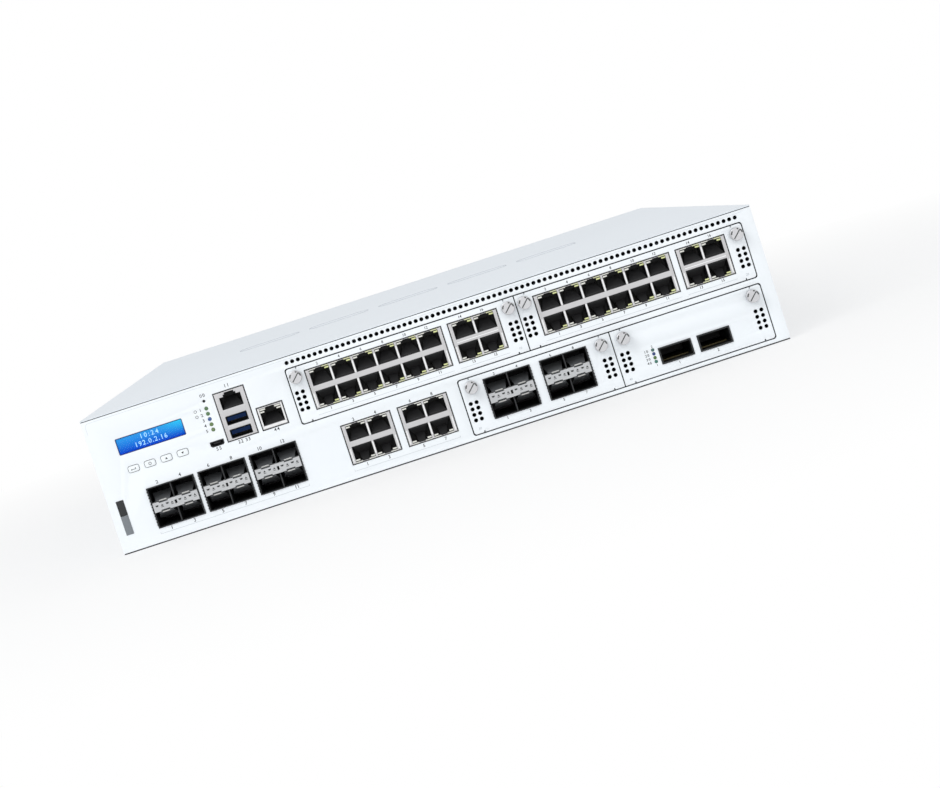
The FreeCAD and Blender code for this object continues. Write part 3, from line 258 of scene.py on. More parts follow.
def turned(bm, x, z, profile, steps=32, place=facing, ridge=0.0):
    """A solid turned about its depth axis from (radius, depth) points. A ridge knurls its widest part."""
    widest = max(radius for radius, _ in profile)
    loops = []
    for radius, depth in profile:
        knurl = ridge if radius == widest else 0.0
        loop = []
        for step in range(steps):
            turn = 2 * math.pi * step / steps
            reach = radius + (knurl if step % 2 else -knurl)
            loop.append(bm.verts.new(place(x + reach * math.cos(turn), z + reach * math.sin(turn), depth)))
        loops.append(loop)
    skin(bm, loops)


def wire_ring(bm, x, y, z, radius, wire, steps=64, sides=8):
    """A round wire bent to a circle in an upright plane."""
    loops = []
    for step in range(steps):
        turn = 2 * math.pi * step / steps
        loop = []
        for reach, depth in circle(radius, y, wire, sides):
            loop.append(bm.verts.new((x + reach * math.cos(turn), depth, z + reach * math.sin(turn))))
        loops.append(loop)
    for here, there in zip(loops, loops[1:] + loops[:1]):
        band(bm, here, there)


def swept(bm, x, path, half_width, half_height):
    """A flat strip centred on x, level across the front, along a path of (y, z) points."""
    loops = []
    for index, (y, z) in enumerate(path):
        ahead = Vector(path[min(index + 1, len(path) - 1)]) - Vector(path[max(index - 1, 0)])
        ahead.normalize()
        up = Vector((-ahead.y, ahead.x)) * half_height
        loops.append([bm.verts.new((x + side * half_width, y + level * up.x, z + level * up.y))
                      for side, level in ((-1, -1), (1, -1), (1, 1), (-1, 1))])
    skin(bm, loops)


def wedge(bm, middle, near, far, sheet=0.8):
    """A sloping sheet between two edges, each given as half width, depth behind the front and height."""
    (near_half, near_depth, low), (far_half, far_depth, high) = near, far
    corners = ((-1, near_half, near_depth, low), (1, near_half, near_depth, low),
               (1, far_half, far_depth, high), (-1, far_half, far_depth, high))
    upper, lower = ([bm.verts.new((middle + side * half, front + depth, level - drop))
                     for side, half, depth, level in corners]
                    for drop in (0, sheet if high > low else -sheet))
    skin(bm, (lower, upper))


def put(name, data):
    """A new object in the scene."""
    thing = bpy.data.objects.new(name, data)
    bpy.context.scene.collection.objects.link(thing)
    return thing


def to_mesh(name, bm):
    mesh = bpy.data.meshes.new(name)
    bm.to_mesh(mesh)
    bm.free()
    return mesh


def evaluated(thing):
    """A new mesh of an object with its modifiers applied."""
    bpy.context.view_layer.update()
    return bpy.data.meshes.new_from_object(thing.evaluated_get(bpy.context.evaluated_depsgraph_get()))


def curve_mesh(curve, bm, matrix):
    """Adds a filled curve's faces to a shape and drops the curve."""
    holder = put("outline", curve)
    mesh = evaluated(holder)
    mesh.transform(matrix)
    part = bmesh.new()
    part.from_mesh(mesh)
    bmesh.ops.remove_doubles(part, verts=part.verts, dist=0.0005)
    part.to_mesh(mesh)
    part.free()
    bm.from_mesh(mesh)
    bpy.data.objects.remove(holder)
    bpy.data.meshes.remove(mesh)
    bpy.data.curves.remove(curve)


def upright(x, y, z):
    """Stands a flat outline up at a place, facing the front."""
    return Matrix.Translation((x, y, z)) @ Matrix.Rotation(math.radians(90), 4, "X")


def sheet_metal(bm, outline, y0, y1, holes=(), soften=edge, turn=None):
    """A cut sheet with round-edged openings. It stands upright unless another turn is given."""
    curve = bpy.data.curves.new("outline", "CURVE")
    curve.dimensions = "2D"
    curve.fill_mode = "BOTH"
    curve.extrude = (y1 - y0) / 2 - soften
    curve.bevel_depth = soften
    curve.bevel_resolution = 1
    curve.offset = -soften
    for points in (outline, *holes):
        spline = curve.splines.new("POLY")
        spline.points.add(len(points) - 1)
        for point, (a, b) in zip(spline.points, points):
            point.co = (a, b, 0, 1)
        spline.use_cyclic_u = True
    curve_mesh(curve, bm, turn or upright(0, (y0 + y1) / 2, 0))


def ring_mark(bm, x, z, inner, y, steps=24):
    """A small printed ring."""
    sheet_metal(bm, circle(x, z, 0.95, steps), y - printed, y, [circle(x, z, inner, steps)], 0.005)


def figures(bm, text, x, z, size, spread=1.0, y=front):
    """Plain printed figures, centred on a place of the front."""
    curve = bpy.data.curves.new("figures", "FONT")
    curve.body = text
    curve.size = size
    curve.align_x = "CENTER"
    curve.align_y = "CENTER"
    curve.extrude = printed / 2
    curve.space_character = spread
    curve.offset = swell
    curve.resolution_u = 2
    curve_mesh(curve, bm, upright(x, y - printed / 2, z))


def round_edges(thing, width):
    bevel = thing.modifiers.new("round_edges", "BEVEL")
    bevel.width = width * MM
    bevel.segments = 2
    bevel.limit_method = "ANGLE"
    bevel.angle_limit = math.radians(40)
    bevel.harden_normals = True


def piece(name, bm, body, slot, look=None, stands_for=(), smooth=35, soften=0.0):
    """Turns a shape into an object that rides on a body. Its look is its slot's unless one is named."""
    bmesh.ops.recalc_face_normals(bm, faces=bm.faces)
    bmesh.ops.scale(bm, vec=(MM, MM, MM), verts=bm.verts)
    mesh = to_mesh(name, bm)
    mesh.shade_smooth()
    mesh.set_sharp_from_angle(angle=math.radians(smooth))
    mesh.materials.append(looks[look or slot])
    thing = put(name, mesh)
    if soften:
        round_edges(thing, soften)
    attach(thing, body)
    if stands_for:
        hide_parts(*stands_for)
    return thing


# ---------------------------------------------------------------- materials


def linear(colour):
    """A colour as a shader takes it, from its screen values."""
    return (*[c / 12.92 if c <= 0.04045 else ((c + 0.055) / 1.055) ** 2.4 for c in colour], 1.0)


def set_inputs(node, **values):
    """Sets a node's inputs by name, with _ for each space."""
    for name, value in values.items():
        node.inputs[name.replace("_", " ")].default_value = value
    return node


def combined(tree, operation, first, second):
    """A math node on two outputs."""
    node = tree.nodes.new("ShaderNodeMath")
    node.operation = operation
    tree.links.new(first, node.inputs[0])
    tree.links.new(second, node.inputs[1])
    return node.outputs[0]


class Look:
    """A material's node tree with the few nodes that the finishes share."""

    def __init__(self, name, colour, roughness, metallic=0.0):
        self.material = bpy.data.materials.new(name)
        self.material.use_nodes = True
        self.tree = self.material.node_tree
        self.colour = linear(colour)
        self.roughness = roughness
        self.shader = set_inputs(self.tree.nodes["Principled BSDF"], Base_Color=self.colour,
                                 Roughness=roughness, Metallic=metallic)
        self.place = self.node("TexCoord").outputs["Object"]

    def node(self, kind, **values):
        return set_inputs(self.tree.nodes.new("ShaderNode" + kind), **values)

    def link(self, source, target):
        self.tree.links.new(source, target)

    def noise(self, scale, detail=3.0, stretch=None):
        source = self.place
        if stretch:
            mapping = self.node("Mapping", Scale=stretch)
            self.link(source, mapping.inputs["Vector"])
            source = mapping.outputs["Vector"]
        noise = self.node("TexNoise", Scale=scale, Detail=detail)
        self.link(source, noise.inputs["Vector"])
        return noise.outputs["Fac"]

    def mix(self, factor, first, second):
        """Blends two colours, each a plain colour or an output."""
        mix = self.node("Mix")
        mix.data_type = "RGBA"
        self.link(factor, mix.inputs[0])
        for socket, value in zip(mix.inputs[6:8], (first, second)):
            if isinstance(value, tuple):
                socket.default_value = value
            else:
                self.link(value, socket)
        return mix.outputs[2]

    def tint(self, factor, amount):
        """Varies the base colour a little, darker and lighter around its own value."""
        darker = (*[max(c * (1 - amount), 0) for c in self.colour[:3]], 1)
        lighter = (*[min(c * (1 + amount), 1) for c in self.colour[:3]], 1)
        colour = self.mix(factor, darker, lighter)
        self.link(colour, self.shader.inputs["Base Color"])
        return colour

    def polish(self, factor, spread):
        """Varies the roughness around its own value."""
        change = self.node("MapRange", To_Min=max(self.roughness - spread, 0.02),
                           To_Max=min(self.roughness + spread, 1.0))
        self.link(factor, change.inputs["Value"])
        self.link(change.outputs["Result"], self.shader.inputs["Roughness"])

    def grain(self, tint, polish, relief):
        """Tone, polish and relief from noises, each given as scale, detail and then its amounts."""
        for change, (scale, detail, *amounts) in ((self.tint, tint), (self.polish, polish),
                                                  (self.relief, relief)):
            change(self.noise(scale, detail), *amounts)

    def relief(self, height, distance, strength=0.5):
        bump = self.node("Bump", Strength=strength, Distance=distance * MM)
        self.link(height, bump.inputs["Height"])
        self.link(bump.outputs["Normal"], self.shader.inputs["Normal"])


def powder_coat(name, colour):
    """Fine matt powder coat: a soft orange-peel relief and a faint drift of tone."""
    look = Look(name, colour, 0.48)
    look.grain((9.0, 2.0, 0.012), (1500.0, 2.0, 0.06), (1900.0, 2.0, 0.02, 0.35))
    set_inputs(look.shader, Specular_IOR_Level=0.4)
    return look.material


def drawn_sheet(name, colour, roughness, metallic):
    """Plated or rolled sheet: fine lines along the rolling direction."""
    look = Look(name, colour, roughness, metallic)
    lines = look.noise(220.0, 4.0, (1.0, 12.0, 12.0))
    look.tint(lines, 0.06)
    look.polish(lines, 0.1)
    look.relief(lines, 0.01, 0.25)
    return look.material


def spangled_sheet(name, colour):
    """Zinc-coated sheet with its crystal pattern."""
    look = Look(name, colour, 0.42, 0.85)
    cells = look.node("TexVoronoi", Scale=260.0)
    look.link(look.place, cells.inputs["Vector"])
    look.tint(cells.outputs["Color"], 0.07)
    look.polish(cells.outputs["Color"], 0.08)
    look.relief(look.noise(400.0), 0.01, 0.2)
    return look.material


def moulding(name, colour, roughness, grain=900.0, specular=0.5):
    """Moulded plastic with a fine spark-eroded grain."""
    look = Look(name, colour, roughness)
    set_inputs(look.shader, Specular_IOR_Level=specular)
    look.grain((60.0, 3.0, 0.05), (grain, 2.0, 0.07), (grain * 1.3, 2.0, 0.015, 0.3))
    return look.material


def laminate(name, colour):
    """Circuit board: solder mask over traces, seen as slightly lighter angular bands."""
    look = Look(name, colour, 0.35)
    bricks = look.node("TexBrick", Scale=90.0, Mortar_Size=0.03, Color1=(0.3, 0.3, 0.3, 1),
                       Color2=(0.6, 0.6, 0.6, 1), Mortar=(1, 1, 1, 1))
    look.link(look.place, bricks.inputs["Vector"])
    look.tint(bricks.outputs["Color"], 0.35)
    look.polish(look.noise(300.0), 0.08)
    look.relief(bricks.outputs["Color"], 0.03, 0.3)
    return look.material


def lamp_plastic(name, colour, strength):
    """A lit light pipe: its glow is uneven, in a fine noise."""
    look = Look(name, colour, 0.3)
    glow = look.tint(look.noise(700.0, 1.0), 0.12)
    look.link(glow, look.shader.inputs["Emission Color"])
    set_inputs(look.shader, Emission_Strength=strength)
    return look.material


def screen_glow(name, box):
    """The lit screen: deep blue below, lighter above, cyan in the upper right, in fine cells."""
    x0, x1, z0, z1 = box
    look = Look(name, (0.04, 0.34, 0.86), 0.25)
    split = look.node("SeparateXYZ")
    look.link(look.place, split.inputs[0])

    def ramp(axis, low, high):
        node = look.node("MapRange", From_Min=low * MM, From_Max=high * MM)
        look.link(split.outputs[axis], node.inputs["Value"])
        return node.outputs["Result"]

    height = ramp("Z", z0, z1)
    corner = combined(look.tree, "MULTIPLY", ramp("X", x0 + (x1 - x0) * 0.6, x1),
                      combined(look.tree, "MULTIPLY", height, height))
    colour = look.mix(height, linear((0.0, 0.2, 0.7)), linear((0.2, 0.6, 0.82)))
    colour = look.mix(corner, colour, linear((0.2, 0.82, 0.9)))
    for entry in ("Base Color", "Emission Color"):
        look.link(colour, look.shader.inputs[entry])
    set_inputs(look.shader, Emission_Strength=0.4, Specular_IOR_Level=0.1)
    look.relief(look.noise(1200.0), 0.01, 0.2)
    return look.material


def ink(name, colour):
    look = Look(name, colour, 0.6)
    look.tint(look.noise(500.0), 0.08)
    return look.material


def clear_pane(name):
    look = Look(name, (0.9, 0.95, 1.0), 0.06)
    set_inputs(look.shader, Transmission_Weight=1.0, IOR=1.1)
    look.relief(look.noise(40.0), 0.01, 0.05)
    return look.material


def turned_metal(name, colour, roughness):
    """Turned and plated screws: fine rings and small scuffs."""
    look = Look(name, colour, roughness, 0.75)
    look.grain((800.0, 4.0, 0.08), (500.0, 3.0, 0.08), (2200.0, 2.0, 0.008, 0.3))
    return look.material


# The looks of the material slots
looks = {
    "panel_paint": powder_coat("white_powder_coat", (0.955, 0.972, 0.985)),
    # The lid and the case take the panel's white coat a shade greyer: painted shade for the lid seen at a
    # grazing angle.
    "lid_paint": powder_coat("lid_coat_painted_shade", (0.885, 0.908, 0.93)),
    "case_paint": powder_coat("case_coat_painted_shade", (0.875, 0.898, 0.92)),
    "zinc_sheet": spangled_sheet("zinc_sheet", (0.66, 0.68, 0.7)),
    "tinned_shield": drawn_sheet("tinned_shield", (0.79, 0.786, 0.79), 0.5, 0.3),
    "socket_plastic": moulding("socket_black", (0.085, 0.085, 0.09), 0.55),
    "cage_steel": drawn_sheet("cage_steel", (0.2, 0.205, 0.21), 0.45, 0.5),
    "light_bar_plastic": moulding("light_bar", (0.76, 0.765, 0.77), 0.5),
    "display_glass": clear_pane("display_pane"),
    "key_plastic": moulding("key_white", (0.955, 0.972, 0.985), 0.45),
    "dark_plastic": moulding("dark_plastic", (0.09, 0.09, 0.1), 0.5),
    "light_pipe": lamp_plastic("status_green", (0.36, 0.66, 0.24), 0.25),
    "circuit_board": laminate("green_board", (0.05, 0.26, 0.14)),
    "heatsink_aluminium": drawn_sheet("heatsink_aluminium", (0.78, 0.79, 0.8), 0.35, 1.0),
    "memory_board": laminate("memory_board", (0.04, 0.17, 0.1)),
    "screw_steel": turned_metal("screw_nickel", (0.79, 0.79, 0.8), 0.36),
    "supply_steel": spangled_sheet("supply_sheet", (0.66, 0.68, 0.7)),
    "latch_plastic": moulding("latch_green", (0.1, 0.4, 0.26), 0.45),
    "rotor_plastic": moulding("rotor_black", (0.1, 0.1, 0.105), 0.4),
    "fan_plastic": moulding("fan_black", (0.12, 0.12, 0.125), 0.55),
    "rocker_plastic": moulding("rocker_black", (0.07, 0.07, 0.07), 0.25),
}
for entry in frame["record"]["subparts"]:
    thing = frame["nodes"][entry["node"]]
    if not thing.material_slots:
        thing.data.materials.append(None)
    for place in thing.material_slots:
        place.material = looks[entry["material_slot"]]

# The looks of pieces that differ from their slot's
status_lamps = ("status_green_1", "status_green_2", "status_blue", "status_lime_1", "status_lime_2")
module_lamps = ("module_lamp_1", "module_lamp_2", "module_lamp_3", "module_lamp_4")
for maker, rows in (
    # Dark foam for the gaps round the bays, the sockets' faces and the keys: painted shade for the shadow
    # in those gaps.
    (moulding, (("gasket_foam", (0.09, 0.1, 0.1), 0.9, 300.0),
                # A grey lighter than the socket plastic for the inner slopes: painted light where the
                # slopes catch the lamps.
                ("slope_grey", (0.145, 0.145, 0.15), 0.6),
                ("tongue_blue", (0.03, 0.12, 0.26), 0.6, 900.0, 0.1))),
    # Grey for the dark arcs and slot strips of the thumbscrews: painted shade and reflections.
    (turned_metal, (("recess_grey", (0.36, 0.37, 0.37), 0.6),
                    # Gold darkened for the contacts deep in the network sockets: painted shade.
                    ("contact_dull", (0.24, 0.22, 0.18), 0.5),
                    ("contact_gold", (0.6, 0.5, 0.28), 0.35),
                    ("contact_olive", (0.36, 0.33, 0.22), 0.5))),
    # A lighter tin for the shields' ribs: painted highlight along them.
    (drawn_sheet, (("bright_tin", (0.93, 0.93, 0.93), 0.5, 0.1),
                   # A lighter steel for the cage flaps: painted light from the floor on the flaps that
                   # face down.
                   ("flap_steel", (0.42, 0.43, 0.44), 0.5, 0.3),
                   # A bright steel for the cage latch tabs: painted highlight.
                   ("tab_steel", (0.74, 0.74, 0.73), 0.45, 0.4),
                   ("finger_steel", (0.42, 0.42, 0.42), 0.4, 0.6),
                   ("guard_steel", (0.52, 0.52, 0.52), 0.4, 0.6))),
    (ink, (("grey_ink", (0.16, 0.17, 0.18)),
           ("pale_ink", (0.78, 0.8, 0.82)),
           # Black ink for printed signs and the badge, also for the slits beside the cage tabs as painted
           # shade.
           ("black_ink", (0.13, 0.14, 0.15)),
           ("mark_ink", (0.17, 0.18, 0.18)),
           ("badge_grey", (0.48, 0.5, 0.52)),
           # Grey for the lid's pressed outlines: painted shade along them.
           ("bead_grey", (0.74, 0.76, 0.79)),
           # A faint grey for the line near the front plate's corner: painted shade of a fine edge.
           ("faint_ink", (0.86, 0.88, 0.9)),
           # Navy for the thin rim round the display: painted shade of its recess.
           ("navy_ink", (0.03, 0.16, 0.4)))),
    (lamp_plastic, (("screen_figures", (0.72, 0.88, 0.97), 0.35),
                    ("port_lamp_white", (0.84, 0.84, 0.81), 0.1),
                    ("port_lamp_lime", (0.8, 0.82, 0.58), 0.1),
                    ("port_lamp_pale", (0.8, 0.81, 0.64), 0.1),
                    (status_lamps[0], (0.32, 0.44, 0.3), 0.12),
                    (status_lamps[1], (0.32, 0.46, 0.3), 0.12),
                    (status_lamps[2], (0.24, 0.34, 0.56), 0.15),
                    (status_lamps[3], (0.37, 0.47, 0.28), 0.12),
                    (status_lamps[4], (0.4, 0.48, 0.33), 0.12),
                    (module_lamps[0], (0.27, 0.4, 0.38), 0.1),
                    (module_lamps[1], (0.16, 0.24, 0.46), 0.1),
                    (module_lamps[2], (0.3, 0.42, 0.2), 0.1),
                    (module_lamps[3], (0.2, 0.44, 0.38), 0.1))),
):
    for row in rows:
        looks[row[0]] = maker(*row)


# ---------------------------------------------------------------- front panel


def block_width(columns):
    return 2 * jack_margin + (columns - 1) * jack_pitch + jack_width


def jack_blocks(node, widths):
    """Left edges of the ganged blocks in a node, counted from its right edge, with their columns."""
    right = limits(node)[1]
    places = []
    for columns, gap in widths:
        right -= block_width(columns)
        places.insert(0, (right, columns))
        right -= gap
    return places


def jack_box(left, columns, bottom):
    return left, left + block_width(columns), bottom, bottom + shield_top


def jack_middles(left, columns):
    return [left + jack_margin + jack_width / 2 + column * jack_pitch for column in range(columns)]


def optical_middles(left):
    inset = sfp_wall + sfp_width / 2
    return left + inset, left + sfp_block_width - inset


def window(box):
    return rounded(*around(box, window_gap))


shield_top = limits("module_a_jack_shields")[5] - limits("module_a_jack_shields")[4]
board_rise = limits("fixed_jack_shields")[4]
optical_top = limits("fixed_sfp_cages")[5]
fixed_coppers = jack_blocks("fixed_jack_shields", ((2, 37.0 - block_width(2)), (2, 0)))
fixed_opticals = [limits("fixed_sfp_cages")[0] + sfp_pitch * index for index in range(3)]
module_opticals = [limits("module_c_sfp_cages")[0] + sfp_module_pitch * index for index in range(2)]
module_qsfps = [limits("module_d_qsfp_cages")[0] + qsfp_pitch * index for index in range(2)]
display_box = (from_left(17.0), from_left(60.5), 60.0, 70.7)
console = (from_left(83.5), from_left(103.5), 47.2, 78.7)
console_rise = 67.2
management = (from_left(106.3), from_left(123.3), 47.2, 62.0)
management_rise = 49.8
micro = (from_left(72.6), from_left(81.2), 47.2, 50.4)
light_x = from_left(77.2)
light_rises = [71.5 - 3.45 * index for index in range(5)]
reset_rise = 76.3
module_light_x = from_left(353.15)
module_light_rises = [20.05 - 2.52 * index for index in range(4)]
bay_right = limits("module_b_bezel")[1] + 0.4
upper_bay = (from_left(130.8), bay_right, 43.3, 79.3)
lower_bay = (from_left(230.7), bay_right, 3.3, 39.3)


def micro_outline(grow):
    x0, x1, z0, z1 = around(micro, grow)
    return [(x0 + 1, z0), (x1 - 1, z0), (x1, z0 + 1), (x1, z1), (x0, z1), (x0, z0 + 1)]


def key_outline(name, inset):
    box = about(*centre("key_" + name), key_half_width - inset, key_half_height - inset)
    return rounded(*box, key_corner - inset)


def front_plate():
    """The white face with every opening in it, and the fold along its top."""
    bm = bmesh.new()
    holes = [rounded(*display_box, 0.8)]
    holes += [rounded(*around(bay, bay_grow), bay_corner) for bay in (upper_bay, lower_bay)]
    holes += [window(console), window(management), micro_outline(window_gap)]
    holes += [circle(light_x, reset_rise, reset_hole)]
    holes += [circle(light_x, rise, light_hole) for rise in light_rises]
    holes += [key_outline(name, 0) for name in key_names]
    holes += [window(jack_box(left, columns, board_rise)) for left, columns in fixed_coppers]
    holes += [window((left, left + sfp_block_width, board_rise, optical_top)) for left in fixed_opticals]
    holes += [circle(from_left(vent_left + vent_pitch * index), vent_rise, vent_radius, vent_steps)
              for index in range(vent_count)]
    outline = rounded(left_side, right_side, panel_foot, lid_underside - seam_height, 0.4, 3)
    sheet_metal(bm, outline, front, front + panel_sheet, holes)
    inner = left_side + fold_inset
    bar(bm, (inner, -inner, panel_top - fold_sheet, panel_top), front + panel_sheet, front + fold_depth)
    piece("front_plate", bm, "chassis", "panel_paint", stands_for=["front_panel"])


def painted_gap_shades():
    """Dark foam in the gaps round the bays, between the modules, over and under the front plate: painted
    shade for the shadow in these gaps.
    """
    bm = bmesh.new()
    near, far = front + 0.9, front + 1.35
    for bay in (upper_bay, lower_bay):
        sheet_metal(bm, rounded(*around(bay, bay_grow - shade_overlap), bay_corner), near, far,
                    [rounded(*around(bay, shade_overlap - bezel_gap), bay_corner)], 0.02)
    for name, bay in (("module_b", upper_bay), ("module_d", lower_bay)):
        x = limits(name + "_bezel")[0]
        bar(bm, (x - bezel_gap - bezel_trim, x + bezel_trim, bay[2], bay[3]), near, far)
    for low, high in ((lid_underside - seam_height + shade_overlap, lid_underside - shade_overlap),
                      (0.04, panel_foot - shade_overlap)):
        bar(bm, (left_side + 0.3, right_side - 0.3, low, high), front + 0.35, far)
    piece("dark_gaskets", bm, "chassis", "socket_plastic", "gasket_foam")


def bezel_plate(name, bay, side, vent_inset, windows):
    """A module's white face with its port windows, vents, edge ticks and folded lower edge."""
    bm = bmesh.new()
    x0, x1, _, back, z0, z1 = limits(name + "_bezel")
    if side == "left":
        corners = (bezel_corner, 0.0)
        module_left, module_right = x0 - bezel_gap, x1 + bezel_gap / 2
        x1 -= bezel_trim
    else:
        corners = (0.0, bezel_corner)
        module_left, module_right = x0 - bezel_gap / 2, x1 + bezel_gap
        x0 += bezel_trim
    holes = list(windows)
    for column in range(2):
        away = vent_inset + column * bezel_vent_column
        for row in range(4):
            rise = bay[2] + bezel_vent_rise + row * bezel_vent_row
            holes += [circle(x, rise, vent_radius, vent_steps)
                      for x in (module_left + away, module_right - away)]
    holes += [circle(*centre(name + "_thumbscrew_" + hand), screw_hole) for hand in ("left", "right")]
    if name == "module_d":
        holes += [circle(module_light_x, rise, module_light_hole, 16) for rise in module_light_rises]
    sheet_metal(bm, notched_outline(x0, x1, z0, z1, corners), front, front + panel_sheet, holes)
    fold = z0 + bezel_fold_rise
    bar(bm, (x0 + bezel_fold_inset, x1 - bezel_fold_inset, fold, fold + panel_sheet),
        front + panel_sheet, back)
    piece(name + "_face", bm, name, "panel_paint", stands_for=[name + "_bezel"])


def notched_outline(x0, x1, z0, z1, corners):
    """A bezel's outline: round corners at the bay's end, and a small tick near each end of both edges."""
    left, right = corners

    def corner(x, z, radius, start):
        if radius == 0:
            return [(x, z)]
        return arc(x + radius if x == x0 else x - radius, z + radius if z == z0 else z - radius,
                   radius, start, start + 90, 6)

    def tick(x, z, way):
        first, last = x - way * tick_width / 2, x + way * tick_width / 2
        return [(first, z), (first, z + way * tick_depth), (last, z + way * tick_depth), (last, z)]

    return (corner(x0, z0, left, 180) + tick(x0 + tick_inset, z0, 1) + tick(x1 - tick_inset, z0, 1)
            + corner(x1, z0, right, 270) + corner(x1, z1, right, 0)
            + tick(x1 - tick_inset, z1, -1) + tick(x0 + tick_inset, z1, -1) + corner(x0, z1, left, 90))


# ---------------------------------------------------------------- network sockets


def mouth_outline(middle, flat_side, way, profile):
    """The mouth of a network socket from its half profile, flat on one side and notched on the other."""
    points = list(profile) + [(-half, height) for half, height in profile[::-1]]
    return [(middle + half, flat_side + way * height) for half, height in points]


def port_lamp(parts, middle, flat_side, width, way, hand, kinds, strokes):
    """The two strokes of a port lamp in a corner beside the notch. hand is -1 left and 1 right."""
    outer = width / 2 - 0.1
    for (length, low, high), kind in zip(strokes, kinds):
        x0, x1 = sorted((middle + hand * (outer - length), middle + hand * outer))
        z0, z1 = sorted((flat_side + way * low, flat_side + way * high))
        bar(parts["lamps_" + kind], (x0, x1, z0, z1), front - jack_proud - 0.05, front + 0.1)


def frame_bars(bm, box, width, y0, y1):
    """Four bars just inside a box."""
    x0, x1, z0, z1 = box
    for part in ((x0, x1, z0, z0 + width), (x0, x1, z1 - width, z1),
                 (x0, x0 + width, z0 + width, z1 - width), (x1 - width, x1, z0 + width, z1 - width)):
        bar(bm, part, y0, y1)


def shield_shell(parts, box, mouths):
    """A shield: face with its mouths, sleeve behind, and spring fingers round the face over a dark ring
    that is painted shade in the channel.
    """
    x0, x1, z0, z1 = box
    face = front - jack_proud
    sleeve = face + 1.4
    finger_end = face + 0.7
    sheet_metal(parts["shields"], rounded(*around(box, -finger_band_width)), face, face + shield_sheet,
                mouths, 0.06)
    frame_bars(parts["shields"], box, shield_sheet, sleeve, face + jack_body_depth)
    # A dark ring under the fingers: painted shade in the channel round the face.
    frame_bars(parts["gaskets"], box, finger_band_width, finger_end, sleeve)
    for start, end, sides, upright_side in ((x0, x1, (z0, z1 - finger_band_width), False),
                                            (z0, z1, (x0, x1 - finger_band_width), True)):
        count = max(int((end - start - finger_band_width) / finger_pitch), 1)
        pitch = (end - start) / count
        for side in sides:
            for index in range(count):
                low = start + pitch * (index + 0.5) - finger_width / 2
                along, across = (low, low + finger_width), (side, side + finger_band_width)
                finger = across + along if upright_side else along + across
                bar(parts["fingers"], finger, face + 0.1, finger_end)


def add_socket(parts, mouths, middle, flat_side, width, way, lamps, mouth=ganged_mouth,
               strokes=ganged_strokes):
    """Collects one socket's mouth, lamps, eight spring contacts in a darkened gold that is painted shade,
    and inner slopes.
    """
    mouths.append(mouth_outline(middle, flat_side, way, mouth))
    path = [(front + depth, flat_side + way * rise) for depth, rise in contact_path]
    for index in range(contact_count):
        x = middle + (index - (contact_count - 1) / 2) * contact_pitch
        swept(parts["contacts"], x, path, 0.16, 0.1)
    # Inner slopes in a lighter grey than the housing: painted light.
    wedge(parts["slopes"], middle, (width / 2 - 0.6, 2.4, flat_side + way * 0.9),
          (3.0, 10.0, flat_side + way * 6.6))
    if way < 0:
        wedge(parts["slopes"], middle, (2.0, 1.2, flat_side - 9.9), (3.2, 9.0, flat_side - 4.4))
    for hand, kinds in zip((-1, 1), lamps):
        port_lamp(parts, middle, flat_side, width, way, hand, kinds, strokes)


def socket_group(name, body, node, blocks, singles=(), lime=True):
    """All shields of one node, with their dark rings of painted shade, contacts and lamps, as a few
    pieces.
    """
    rows = [("shields", "tinned_shield", None), ("gaskets", "socket_plastic", "gasket_foam"),
            ("fingers", "tinned_shield", "finger_steel"), ("contacts", "tinned_shield", "contact_dull"),
            ("slopes", "socket_plastic", "slope_grey"), ("lamps_white", "light_pipe", "port_lamp_white"),
            ("ribs", "tinned_shield", "bright_tin")]
    if lime:
        rows += [("lamps_" + kind, "light_pipe", "port_lamp_" + kind) for kind in ("lime", "pale")]
    parts = {kind: bmesh.new() for kind, _, _ in rows}
    white = ("white", "white")
    face = front - jack_proud

    # The ribs take a lighter tin than the shield: painted highlight on the pressed ribs.
    def rib(x0, x1, z0, z1):
        bar(parts["ribs"], (x0, x1, *sorted((z0, z1))), face - rib_height, face)

    for left, columns, bottom in blocks:
        box = jack_box(left, columns, bottom)
        level = bottom + shield_top / 2
        mouths = []
        for middle in jack_middles(left, columns):
            for way in (-1, 1):
                add_socket(parts, mouths, middle, level + way * jack_row_gap / 2, jack_width, way,
                           (white, ("lime", "pale") if lime else white))
        shield_shell(parts, box, mouths)
        if lime and columns == 2:
            rib(box[0] + jack_margin, box[1] - jack_margin, level - 0.5, level)
        for middle in jack_middles(left, columns)[1:]:
            x = middle - jack_pitch / 2
            for way in (-1, 1):
                rib(x - rib_half, x + rib_half, level + way * 2.2, level + way * 9.6)
        for x in (box[0] + 1.35, box[1] - 1.35):
            rib(x - 0.4, x + 0.4, bottom + 1.4, bottom + 10.2)
    for box, rise, extra, mouth in singles:
        mouths = list(extra)
        lamps = (white, white) if mouth is single_mouth else ()
        if lamps:
            rib(box[0] + 0.8, box[1] - 0.8, box[2] + 0.9, rise - 0.3)
            for x in (box[0] + 1.1, box[1] - 1.1):
                rib(x - 0.35, x + 0.35, rise, box[3] - 1.2)
        add_socket(parts, mouths, (box[0] + box[1]) / 2, rise, wide_jack_width, 1, lamps, mouth,
                   single_strokes)
        shield_shell(parts, box, mouths)
    for kind, slot, look in rows:
        piece(name + "_" + kind, parts[kind], body, slot, look, [node] if kind == "shields" else ())


def micro_shell():
    """The small shell of the micro socket, with its closed back."""
    rim = bmesh.new()
    back = front + 6.0
    prism(rim, micro_outline(0), back - 0.4, back)
    sheet_metal(rim, micro_outline(0), front - 0.1, back, [micro_outline(-shield_sheet)], 0.05)
    piece("micro_shell", rim, "chassis", "cage_steel")


